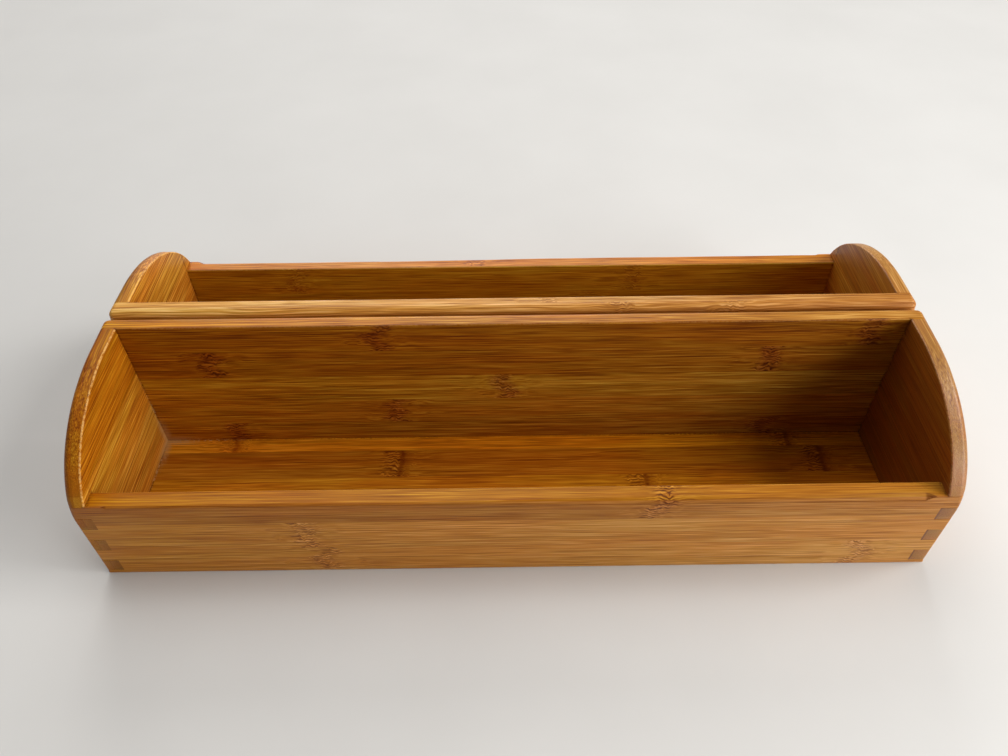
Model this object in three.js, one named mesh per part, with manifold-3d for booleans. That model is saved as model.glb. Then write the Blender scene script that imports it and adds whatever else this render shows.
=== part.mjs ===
// Two identical long bamboo bins that stand back to back and part one tray lengthwise.
//
// Sizes are in millimetres. +X runs along the bins, +Y from the front bin to the rear one, +Z up.
// The origin is on the table, below the middle of the gap between the two high walls.
// One bin is drawn in its own frame: x along it, y in from the face of its low wall, z up.

import * as THREE from 'three';
import { ConvexGeometry } from 'three/addons/geometries/ConvexGeometry.js';
import { mergeVertices } from 'three/addons/utils/BufferGeometryUtils.js';
import Module from 'manifold-3d';

const wasm = await Module();
wasm.setup();

// One bin
const LENGTH = 420;
const DEPTH = 92;
const HIGH_WALL = 94;
const BOARD = 9;
const GAP_BETWEEN_BINS = 3;

// Finger joints: the end boards own every second finger, the long walls own the rest.
const FINGER = 9;
const FOOT_FINGER = 3;
const LOW_CORNER_FINGERS = 3;
const HIGH_CORNER_FINGERS = 5;
const LOW_WALL = FOOT_FINGER + 2 * LOW_CORNER_FINGERS * FINGER;

// The floor panel sits in grooves ploughed in all four boards around it.
const FLOOR_TOP = 7;
const FLOOR_THICKNESS = 4;
const GROOVE_DEPTH = 3;

// The end boards' top edge is part of an ellipse, which starts at the low wall's top.
const CURVE_CENTRE_Y = 70.5;
const CURVE_CENTRE_Z = 40;
const CURVE_STEPS = 22;

// Rounded arrises
const CURVE_ROUND = 4;
const CURVE_FOOT_ROUND = 2.5;
const CORNER_ROUND = 1.5;
const FOOT_ROUND = 0.8;
const BACK_ROUND = 3.5;
const ARRIS_STEPS = 4;

// The low wall's rounded lip stops short of the end boards, where the cutter was lifted off.
const LIP_ROUND = 3;
const LIP_STOP = 10;
const CUTTER_RADIUS = 4;
const LIP_STEPS = 5;
const CUTTER_SIDES = 40;

// How far a blank stands past the faces that it is later trimmed to
const OVERHANG = 1;

const QUARTER_TURN = Math.PI / 2;
const HALF_LENGTH = LENGTH / 2;
const INNER_HALF = HALF_LENGTH - BOARD;
const INNER_BACK = DEPTH - BOARD;

const CURVE_RISE = HIGH_WALL - CURVE_CENTRE_Z;
const CURVE_START = Math.asin((LOW_WALL - CURVE_CENTRE_Z) / CURVE_RISE);
const CURVE_REACH = CURVE_CENTRE_Y / Math.cos(CURVE_START);

const longBamboo = new THREE.MeshStandardMaterial({ color: 0xa8692f, roughness: 0.42, metalness: 0 });
const endBamboo = new THREE.MeshStandardMaterial({ color: 0xb87a38, roughness: 0.45, metalness: 0 });
const floorBamboo = new THREE.MeshStandardMaterial({ color: 0x9c6224, roughness: 0.5, metalness: 0 });

// Turns a closed three.js geometry into a solid that can be cut.
function toSolid(geometry) {
  const bare = geometry.clone();
  bare.deleteAttribute('normal');
  bare.deleteAttribute('uv');
  const welded = mergeVertices(bare);
  const mesh = new wasm.Mesh({
    numProp: 3,
    vertProperties: new Float32Array(welded.attributes.position.array),
    triVerts: new Uint32Array(welded.index.array),
  });
  return new wasm.Manifold(mesh);
}

function toGeometry(solid) {
  const mesh = solid.getMesh();
  const geometry = new THREE.BufferGeometry();
  geometry.setAttribute('position', new THREE.BufferAttribute(mesh.vertProperties, mesh.numProp));
  geometry.setIndex(new THREE.BufferAttribute(mesh.triVerts, 1));
  return geometry;
}

// A box between two opposite corners
function block(low, high) {
  const size = high.map((value, axis) => value - low[axis]);
  const centre = high.map((value, axis) => (value + low[axis]) / 2);
  return new THREE.BoxGeometry(...size).translate(...centre);
}

function arcPoints(centreX, centreY, radius, from, to, steps) {
  return Array.from({ length: steps + 1 }, (_, step) => {
    const angle = from + ((to - from) * step) / steps;
    return new THREE.Vector2(centreX + radius * Math.cos(angle), centreY + radius * Math.sin(angle));
  });
}

// A point of the bin's side outline, with its outward direction and the rounding of its arris
function rim(y, z, normalY, normalZ, round) {
  const size = Math.hypot(normalY, normalZ);
  return { y, z, normalY: normalY / size, normalZ: normalZ / size, round };
}

function cornerRim(centreY, centreZ, radius, from, to, round) {
  return arcPoints(centreY, centreZ, radius, from, to, ARRIS_STEPS).map((point) =>
    rim(point.x, point.y, point.x - centreY, point.y - centreZ, round),
  );
}

// The curve of the end boards, from the low wall's top to the level crest
function curveRim() {
  return Array.from({ length: CURVE_STEPS + 1 }, (_, step) => {
    const angle = CURVE_START + ((QUARTER_TURN - CURVE_START) * step) / CURVE_STEPS;
    const y = CURVE_CENTRE_Y - CURVE_REACH * Math.cos(angle);
    const z = CURVE_CENTRE_Z + CURVE_RISE * Math.sin(angle);
    const round = step === 0 ? CURVE_FOOT_ROUND : CURVE_ROUND;
    return rim(y, z, -Math.cos(angle) / CURVE_REACH, Math.sin(angle) / CURVE_RISE, round);
  });
}

// The bin's whole outer form with its rounded arrises, as the hull of arcs across each end
function binEnvelope() {
  const outline = [
    ...cornerRim(FOOT_ROUND, FOOT_ROUND, FOOT_ROUND, 2 * QUARTER_TURN, 3 * QUARTER_TURN, FOOT_ROUND),
    rim(0, FOOT_ROUND + CORNER_ROUND, -1, 0, CORNER_ROUND),
    rim(0, LOW_WALL - FINGER, -1, 0, CORNER_ROUND),
    ...curveRim(),
    ...cornerRim(DEPTH - BACK_ROUND, HIGH_WALL - BACK_ROUND, BACK_ROUND, QUARTER_TURN, 0, CURVE_ROUND),
    rim(DEPTH, HIGH_WALL - BOARD, 1, 0, CORNER_ROUND),
    rim(DEPTH, FOOT_ROUND + CORNER_ROUND, 1, 0, CORNER_ROUND),
    ...cornerRim(DEPTH - FOOT_ROUND, FOOT_ROUND, FOOT_ROUND, 0, -QUARTER_TURN, FOOT_ROUND),
  ];
  const points = [];
  for (const side of [-1, 1]) {
    for (const edge of outline) {
      for (let step = 0; step <= ARRIS_STEPS; step += 1) {
        const turn = (QUARTER_TURN * step) / ARRIS_STEPS;
        const inset = edge.round * (1 - Math.cos(turn));
        points.push(new THREE.Vector3(
          side * (HALF_LENGTH - edge.round * (1 - Math.sin(turn))),
          edge.y - inset * edge.normalY,
          edge.z - inset * edge.normalZ,
        ));
      }
    }
  }
  return toSolid(new ConvexGeometry(points));
}

// The heights at which an end board's fingers start, from the foot up
function fingerStarts(count) {
  return Array.from({ length: count }, (_, index) => FOOT_FINGER + 2 * index * FINGER);
}

// The blank of an end board: fingers into the low wall, fingers into the high wall, plain top
function endBoardBlank() {
  const outline = new THREE.Shape();
  outline.moveTo(BOARD, -OVERHANG);
  outline.lineTo(INNER_BACK, -OVERHANG);
  for (const start of fingerStarts(HIGH_CORNER_FINGERS)) {
    outline.lineTo(INNER_BACK, start);
    outline.lineTo(DEPTH + OVERHANG, start);
    outline.lineTo(DEPTH + OVERHANG, start + FINGER);
    outline.lineTo(INNER_BACK, start + FINGER);
  }
  outline.lineTo(INNER_BACK, HIGH_WALL + OVERHANG);
  outline.lineTo(-OVERHANG, HIGH_WALL + OVERHANG);
  outline.lineTo(-OVERHANG, LOW_WALL);
  outline.lineTo(BOARD, LOW_WALL);
  for (const start of fingerStarts(LOW_CORNER_FINGERS).reverse()) {
    outline.lineTo(BOARD, start + FINGER);
    outline.lineTo(-OVERHANG, start + FINGER);
    outline.lineTo(-OVERHANG, start);
    outline.lineTo(BOARD, start);
  }
  const upright = new THREE.Matrix4().makeBasis(
    new THREE.Vector3(0, 1, 0),
    new THREE.Vector3(0, 0, 1),
    new THREE.Vector3(1, 0, 0),
  );
  const blank = new THREE.ExtrudeGeometry(outline, { depth: BOARD + OVERHANG, bevelEnabled: false });
  return blank.applyMatrix4(upright);
}

// The blank of a long wall, whose outer face stands towards negative y
function longWallBlank(height, fingerCount) {
  const outline = new THREE.Shape();
  const tip = HALF_LENGTH + OVERHANG;
  const starts = fingerStarts(fingerCount);
  outline.moveTo(-tip, -OVERHANG);
  outline.lineTo(tip, -OVERHANG);
  for (const start of starts) {
    outline.lineTo(tip, start);
    outline.lineTo(INNER_HALF, start);
    outline.lineTo(INNER_HALF, start + FINGER);
    outline.lineTo(tip, start + FINGER);
  }
  outline.lineTo(tip, height);
  outline.lineTo(-tip, height);
  for (const start of [...starts].reverse()) {
    outline.lineTo(-tip, start + FINGER);
    outline.lineTo(-INNER_HALF, start + FINGER);
    outline.lineTo(-INNER_HALF, start);
    outline.lineTo(-tip, start);
  }
  const blank = new THREE.ExtrudeGeometry(outline, { depth: BOARD + OVERHANG, bevelEnabled: false });
  return blank.rotateX(QUARTER_TURN);
}

// The space swept by the cutter that rounds the low wall's top arris and lifts off near each end
function lipCutter() {
  const centre = CUTTER_RADIUS + LIP_ROUND;
  const height = LIP_ROUND + OVERHANG;
  const hollow = arcPoints(centre, 0, LIP_ROUND, 2 * QUARTER_TURN, QUARTER_TURN, LIP_STEPS);
  const profile = [
    new THREE.Vector2(0, 0),
    ...hollow,
    new THREE.Vector2(centre, height),
    new THREE.Vector2(0, height),
  ];
  const run = 2 * (INNER_HALF - LIP_STOP);
  const sweep = new THREE.ExtrudeGeometry(new THREE.Shape(profile), { depth: run, bevelEnabled: false });
  const alongWall = new THREE.Matrix4().makeBasis(
    new THREE.Vector3(0, 1, 0),
    new THREE.Vector3(0, 0, 1),
    new THREE.Vector3(1, 0, 0),
  );
  sweep.applyMatrix4(alongWall).translate(-run / 2, 0, 0);
  let cutter = toSolid(sweep);
  for (const side of [-1, 1]) {
    const bit = new THREE.LatheGeometry([...profile, profile[0]], CUTTER_SIDES).rotateX(QUARTER_TURN);
    bit.translate((side * run) / 2, 0, 0);
    cutter = cutter.add(toSolid(bit));
  }
  return cutter.translate([0, -CUTTER_RADIUS, LOW_WALL - LIP_ROUND]);
}

// The floor panel with the tongues that fill the grooves
function floorPanel() {
  const reach = INNER_HALF + GROOVE_DEPTH;
  const low = [-reach, BOARD - GROOVE_DEPTH, FLOOR_TOP - FLOOR_THICKNESS];
  const high = [reach, INNER_BACK + GROOVE_DEPTH, FLOOR_TOP];
  return toSolid(block(low, high));
}

// The five boards of one bin in its own frame, keyed by their place in it
function binBoards() {
  const envelope = binEnvelope();
  const floor = floorPanel();
  const trim = (blank) => toSolid(blank).intersect(envelope).subtract(floor);
  const lowBlank = longWallBlank(LOW_WALL, LOW_CORNER_FINGERS).translate(0, BOARD, 0);
  const highBlank = longWallBlank(HIGH_WALL + OVERHANG, HIGH_CORNER_FINGERS)
    .translate(0, DEPTH + OVERHANG, 0);
  return {
    lowWall: trim(lowBlank).subtract(lipCutter()),
    highWall: trim(highBlank),
    endAtPlusX: trim(endBoardBlank().translate(INNER_HALF, 0, 0)),
    endAtMinusX: trim(endBoardBlank().translate(-HALF_LENGTH - OVERHANG, 0, 0)),
    floor,
  };
}

function board(name, solid, material) {
  const mesh = new THREE.Mesh(toGeometry(solid), material);
  mesh.name = name;
  return mesh;
}

// One bin, whose ends are named for the side of the tray that they stand on
function bin(name, boards, endNames) {
  const group = new THREE.Group();
  group.add(
    board(`${name}_low_wall`, boards.lowWall, longBamboo),
    board(`${name}_high_wall`, boards.highWall, longBamboo),
    board(`${name}_${endNames.minusX}_end`, boards.endAtMinusX, endBamboo),
    board(`${name}_${endNames.plusX}_end`, boards.endAtPlusX, endBamboo),
    board(`${name}_floor`, boards.floor, floorBamboo),
  );
  return group;
}

const boards = binBoards();
const toLowFace = GAP_BETWEEN_BINS / 2 + DEPTH;

const frontBin = bin('front_bin', boards, { minusX: 'left', plusX: 'right' });
frontBin.position.y = -toLowFace;

const rearBin = bin('rear_bin', boards, { minusX: 'right', plusX: 'left' });
rearBin.position.y = toLowFace;
rearBin.rotation.z = Math.PI;

const tray = new THREE.Group();
tray.name = 'divided_tray';
tray.add(frontBin, rearBin);

export default tray;
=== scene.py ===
"""Looks of a divided bamboo tray: two long finger-jointed bins that stand back to back.

Sizes are written in millimetres and become metres when a mesh is finished. One bin is drawn in its
own frame, with x along it, y in from the face of its low wall and z up, and is then put in its place.
"""
import logging
import math
from collections.abc import Iterable, Sequence
from dataclasses import dataclass, fields, replace
from enum import Enum
from functools import reduce

import bmesh
import bpy
from mathutils import Matrix, Vector


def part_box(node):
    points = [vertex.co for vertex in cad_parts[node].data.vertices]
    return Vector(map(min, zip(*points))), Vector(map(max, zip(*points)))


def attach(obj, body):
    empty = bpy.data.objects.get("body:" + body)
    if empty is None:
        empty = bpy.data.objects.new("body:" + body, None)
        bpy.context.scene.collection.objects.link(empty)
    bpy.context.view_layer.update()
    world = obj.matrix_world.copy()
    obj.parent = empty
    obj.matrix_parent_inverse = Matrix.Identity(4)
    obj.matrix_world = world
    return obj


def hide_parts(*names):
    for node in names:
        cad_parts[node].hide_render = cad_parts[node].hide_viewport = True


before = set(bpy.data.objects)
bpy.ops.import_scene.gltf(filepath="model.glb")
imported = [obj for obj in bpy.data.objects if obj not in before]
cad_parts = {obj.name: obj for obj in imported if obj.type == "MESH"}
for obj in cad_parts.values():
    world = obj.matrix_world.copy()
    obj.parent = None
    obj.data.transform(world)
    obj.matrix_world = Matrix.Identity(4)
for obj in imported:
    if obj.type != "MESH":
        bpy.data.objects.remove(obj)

log = logging.getLogger("tray")

MM = 0.001
QUARTER_TURN = math.pi / 2

Socket = bpy.types.NodeSocket
Source = Socket | float | Sequence[float]
Sockets = bpy.types.bpy_prop_collection
Triple = tuple[float, float, float]
Colour = Triple
Pair = tuple[float, float]


# Sizes and side outline of a bin


@dataclass(frozen=True)
class BinSizes:
    """The driving sizes of one bin, in millimetres."""

    length: float
    depth: float
    high_wall: float
    low_wall: float
    board: float
    gap: float
    floor_top: float
    floor_thickness: float
    groove: float
    finger: float = 9.0
    foot_finger: float = 3.0
    curve_centre_y: float = 70.5
    curve_centre_z: float = 40.0
    foot_round: float = 0.8
    corner_round: float = 1.5
    shoulder: float = 13.0
    curve_foot_round: float = 4.6
    curve_round: float = 4.0
    back_round: float = 3.5
    back_end_round: float = 3.4
    inner_arris: float = 0.7
    lip_round: Pair = (1.2, 3.1)
    lip_stop: float = 10.0
    cutter_radius: float = 4.0
    glue_line: float = 0.11

    @classmethod
    def from_frame(cls) -> "BinSizes":
        """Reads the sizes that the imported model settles.

        Returns:
            The sizes, with the first nine taken from the boxes of the model's nodes.
        """
        low_lo, low_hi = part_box("front_bin_low_wall")
        _, high_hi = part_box("front_bin_high_wall")
        rear_lo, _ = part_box("rear_bin_high_wall")
        floor_lo, floor_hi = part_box("front_bin_floor")
        size = [round(value / MM, 3) for value in (
            low_hi.x - low_lo.x,
            high_hi.y - low_lo.y,
            high_hi.z,
            low_hi.z,
            low_hi.y - low_lo.y,
            rear_lo.y - high_hi.y,
            floor_hi.z,
            floor_hi.z - floor_lo.z,
            low_hi.y - floor_lo.y,
        )]
        return cls(*size)

    @property
    def half(self) -> float:
        """Half the bin's length."""
        return self.length / 2

    @property
    def inner_half(self) -> float:
        """From the middle of the bin to an end board's inner face."""
        return self.half - self.board

    @property
    def inner_back(self) -> float:
        """From the low wall's face to the high wall's inner face."""
        return self.depth - self.board

    @property
    def to_low_face(self) -> float:
        """From the middle of the gap between the bins to a low wall's face."""
        return self.depth + self.gap / 2

    @property
    def low_fingers(self) -> int:
        """How many fingers of an end board run into the low wall."""
        return round((self.low_wall - self.foot_finger) / (2 * self.finger))

    @property
    def high_fingers(self) -> int:
        """How many fingers of an end board run into the high wall."""
        return int((self.high_wall - self.foot_finger) / (2 * self.finger))


@dataclass(frozen=True)
class Rim:
    """A point of the side outline, its outward direction, and the rounding of its two arrises."""

    y: float
    z: float
    out_y: float
    out_z: float
    outer: float
    inner: float = 0.0

    def on_arris(self, face: float, inwards: int, radius: float, turn: float) -> Vector:
        """A point on a rounded arris.

        Args:
            face: the x of the board's face beside the arris.
            inwards: which way x goes from that face into the board, 1 or -1.
            radius: the rounding.
            turn: how far round, from 0 at the outline to a quarter turn at the face.

        Returns:
            The point, in the bin's frame.
        """
        x = face + inwards * radius * (1 - math.sin(turn))
        inset = radius * (1 - math.cos(turn))
        return Vector((x, self.y - inset * self.out_y, self.z - inset * self.out_z))

    def towards(self, other: "Rim", share: float) -> "Rim":
        """The point a share of the way to another one."""
        pairs = zip(vars(self).values(), vars(other).values())
        return Rim(*(a + (b - a) * share for a, b in pairs))


class SideOutline:
    """The closed outline of a bin seen from its end, from the front foot over the curve and back."""

    CURVE_STEPS = 72
    ARC_STEPS = 7
    SHOULDER_STEPS = 6
    CURVE_ROUND_GROWTH = 22.0
    TOUCH = 1e-6

    def __init__(self, size: BinSizes) -> None:
        """Draws the outline.

        Args:
            size: the bin's sizes.
        """
        self.size = size
        self.rims = [*self._foot(front=True), *self._front(), *self._curve(), *self._back(),
                     *self._foot(front=False)]

    @property
    def turns(self) -> list[float]:
        """How far round a rounded arris goes at each of its steps, from the outline to the face."""
        return [QUARTER_TURN * step / self.ARC_STEPS for step in range(self.ARC_STEPS + 1)]

    def _arc(self, centre: Pair, radius: float, ends: Pair, outer: float) -> list[Rim]:
        """Rims along an arc.

        Args:
            centre: the arc's centre, y and z.
            radius: its radius.
            ends: the angles of its two ends.
            outer: the rounding of the outer arris along it.

        Returns:
            The rims from the first end to the second.
        """
        rims = []
        for step in range(self.ARC_STEPS + 1):
            angle = ends[0] + (ends[1] - ends[0]) * step / self.ARC_STEPS
            out = (math.cos(angle), math.sin(angle))
            rims.append(Rim(centre[0] + radius * out[0], centre[1] + radius * out[1], *out, outer))
        return rims

    def _foot(self, front: bool) -> list[Rim]:
        """The rounded edge that stands on the table.

        Args:
            front: whether it is the low wall's foot, not the high wall's.

        Returns:
            Its rims.
        """
        radius = self.size.foot_round
        if front:
            return self._arc((radius, radius), radius, (-QUARTER_TURN, -2 * QUARTER_TURN), radius)
        return self._arc((self.size.depth - radius, radius), radius, (0, -QUARTER_TURN), radius)

    def _front(self) -> list[Rim]:
        """The low wall's face, whose corners grow rounder towards the curve's foot.

        Returns:
            Its rims, upwards.
        """
        size = self.size
        rims = [Rim(0, size.foot_round + size.corner_round, -1, 0, size.corner_round)]
        for step in range(self.SHOULDER_STEPS):
            share = step / self.SHOULDER_STEPS
            outer = size.corner_round + (size.curve_foot_round - size.corner_round) * share * share
            rims.append(Rim(0, size.low_wall - size.shoulder * (1 - share), -1, 0, outer))
        return rims

    def _curve(self) -> list[Rim]:
        """The end boards' curve: part of an ellipse from the low wall's top to the level crest.

        Returns:
            Its rims, from the front to the back.
        """
        size = self.size
        rise = size.high_wall - size.curve_centre_z
        start = math.asin((size.low_wall - size.curve_centre_z) / rise)
        reach = size.curve_centre_y / math.cos(start)
        rims = []
        for step in range(self.CURVE_STEPS + 1):
            share = step / self.CURVE_STEPS
            angle = start + (QUARTER_TURN - start) * share
            out = Vector((-math.cos(angle) / reach, math.sin(angle) / rise)).normalized()
            grown = min(1.0, share * self.CURVE_ROUND_GROWTH)
            rims.append(Rim(
                size.curve_centre_y - reach * math.cos(angle),
                size.curve_centre_z + rise * math.sin(angle),
                out.x,
                out.y,
                size.curve_foot_round + (size.curve_round - size.curve_foot_round) * grown,
                size.inner_arris,
            ))
        return rims

    def _back(self) -> list[Rim]:
        """The high wall's rounded top edge at the seam and its outer face.

        Returns:
            Its rims, downwards.
        """
        size = self.size
        centre = (size.depth - size.back_round, size.high_wall - size.back_round)
        top = self._arc(centre, size.back_round, (QUARTER_TURN, 0), size.back_end_round)
        top[0] = replace(top[0], inner=size.inner_arris)
        heights = (size.high_wall - size.board, size.foot_round + size.corner_round)
        return top + [Rim(size.depth, z, 1, 0, size.corner_round) for z in heights]

    def between(self, low: float, high: float) -> list[Rim]:
        """Clips the outline to a band of y.

        Args:
            low: the band's front.
            high: its back.

        Returns:
            The rims inside the band, with new ones where the outline crosses its sides.
        """
        kept = []
        for rim, following in zip(self.rims, self.rims[1:] + self.rims[:1]):
            if low <= rim.y <= high:
                kept.append(rim)
            step = following.y - rim.y
            if abs(step) < self.TOUCH:
                continue
            shares = sorted((side - rim.y) / step for side in (low, high))
            kept += [rim.towards(following, share) for share in shares
                     if self.TOUCH < share < 1 - self.TOUCH]
        return [replace(rim, out_y=0.0, out_z=-1.0) if rim.z < self.TOUCH else rim for rim in kept]


# Meshes


class Mold:
    """Small functions that make meshes, in millimetres, and handle the objects that hold them."""

    MERGE = 1e-4

    @staticmethod
    def loft(rings: Sequence[Sequence[Vector]], name: str) -> bpy.types.Mesh:
        """Skins rings of equal length and closes both ends with a flat cap.

        Args:
            rings: the rings, from one end to the other.
            name: the mesh's name.

        Returns:
            The closed mesh, with its normals outwards.
        """
        skin = bmesh.new()
        rows = [[skin.verts.new(point) for point in ring] for ring in rings]
        count = len(rows[0])
        for row, following in zip(rows, rows[1:]):
            for index in range(count):
                after = (index + 1) % count
                skin.faces.new((row[index], row[after], following[after], following[index]))
        skin.faces.new(rows[0])
        skin.faces.new(rows[-1])
        bmesh.ops.remove_doubles(skin, verts=skin.verts[:], dist=Mold.MERGE)
        bmesh.ops.recalc_face_normals(skin, faces=skin.faces[:])
        mesh = bpy.data.meshes.new(name)
        skin.to_mesh(mesh)
        skin.free()
        return mesh

    @staticmethod
    def to_object(mesh: bpy.types.Mesh, name: str) -> bpy.types.Object:
        """Puts a mesh into the scene at the origin.

        Args:
            mesh: the mesh.
            name: the object's name.

        Returns:
            The object.
        """
        made = bpy.data.objects.new(name, mesh)
        bpy.context.scene.collection.objects.link(made)
        return made

    @staticmethod
    def settle(piece: bpy.types.Object) -> None:
        """Bakes a piece's modifiers into a plain mesh and removes them.

        Args:
            piece: the piece.
        """
        bpy.context.view_layer.update()
        graph = bpy.context.evaluated_depsgraph_get()
        shaped = bpy.data.meshes.new_from_object(
            piece.evaluated_get(graph), preserve_all_data_layers=True, depsgraph=graph)
        spent = piece.data
        piece.modifiers.clear()
        piece.data = shaped
        bpy.data.meshes.remove(spent)

    @staticmethod
    def drop(piece: bpy.types.Object) -> None:
        """Removes a helper object and its mesh.

        Args:
            piece: the helper.
        """
        mesh = piece.data
        bpy.data.objects.remove(piece)
        bpy.data.meshes.remove(mesh)


def concave_arc(radius: float, steps: int = 8) -> list[Pair]:
    """The hollow of a rounding cutter: from its side to its top, away from the arris that it leaves.

    Args:
        radius: the rounding that it leaves.
        steps: the number of straight pieces.

    Returns:
        Points (in, up), with (0, 0) where the hollow meets the face and (radius, radius) at the top.
    """
    turns = [QUARTER_TURN * step / steps for step in range(steps + 1)]
    return [(radius * (1 - math.cos(turn)), radius * math.sin(turn)) for turn in turns]


class CutRow:
    """A Geometry Nodes tree that cuts a row of equal rectangular notches out of a board."""

    INPUTS = {
        "Board": "NodeSocketGeometry",
        "Count": "NodeSocketInt",
        "First Centre": "NodeSocketVector",
        "Step": "NodeSocketVector",
        "Notch Size": "NodeSocketVector",
        "Finish": "NodeSocketMaterial",
    }

    def __init__(self) -> None:
        """Builds the tree once, with named inputs for the notches."""
        self.tree = bpy.data.node_groups.new("row_of_notches", "GeometryNodeTree")
        self.tree.is_modifier = True
        sockets = self.tree.interface
        self.keys = {name: sockets.new_socket(name, in_out="INPUT", socket_type=kind).identifier
                     for name, kind in self.INPUTS.items()}
        sockets.new_socket("Board", in_out="OUTPUT", socket_type="NodeSocketGeometry")
        graph = Graph(self.tree)
        given = graph.add("NodeGroupInput").outputs
        row = graph.add("GeometryNodeMeshLine", {
            "Count": given["Count"],
            "Start Location": given["First Centre"],
            "Offset": given["Step"],
        }, mode="OFFSET")
        notch = graph.add("GeometryNodeMeshCube", {"Size": given["Notch Size"]})
        placed = graph.add("GeometryNodeInstanceOnPoints",
                           {"Points": row.outputs[0], "Instance": notch.outputs[0]})
        solid = graph.add("GeometryNodeRealizeInstances", {"Geometry": placed.outputs[0]})
        cut = graph.add("GeometryNodeMeshBoolean", {"Mesh 1": given["Board"], "Mesh 2": solid.outputs[0]},
                        operation="DIFFERENCE", solver="EXACT")
        whole = graph.add("GeometryNodeRealizeInstances", {"Geometry": cut.outputs[0]})
        dressed = graph.add("GeometryNodeSetMaterial",
                            {"Geometry": whole.outputs[0], "Material": given["Finish"]})
        graph.add("NodeGroupOutput", {"Board": dressed.outputs[0]})

    def apply(self, piece: bpy.types.Object, finish: bpy.types.Material, first: Sequence[float],
              size: Sequence[float], count: int = 1, step: Sequence[float] = (0.0, 0.0, 0.0)) -> None:
        """Adds one row of notches to a board.

        Args:
            piece: the board, in millimetres.
            finish: the board's material.
            first: the centre of the first notch.
            size: the notch's three sizes.
            count: the number of notches.
            step: from one notch's centre to the next.
        """
        row = piece.modifiers.new("notches", "NODES")
        row.node_group = self.tree
        row[self.keys["Count"]] = count
        row[self.keys["First Centre"]] = list(first)
        row[self.keys["Step"]] = list(step)
        row[self.keys["Notch Size"]] = list(size)
        row[self.keys["Finish"]] = finish


# Node wiring


@dataclass(frozen=True)
class Weave:
    """A noise pattern: its waves per unit along and across the grain, its finer layers and its span."""

    along: float
    across: float
    detail: float = 1.0
    roughness: float = 0.5
    span: float = 1.0


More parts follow.
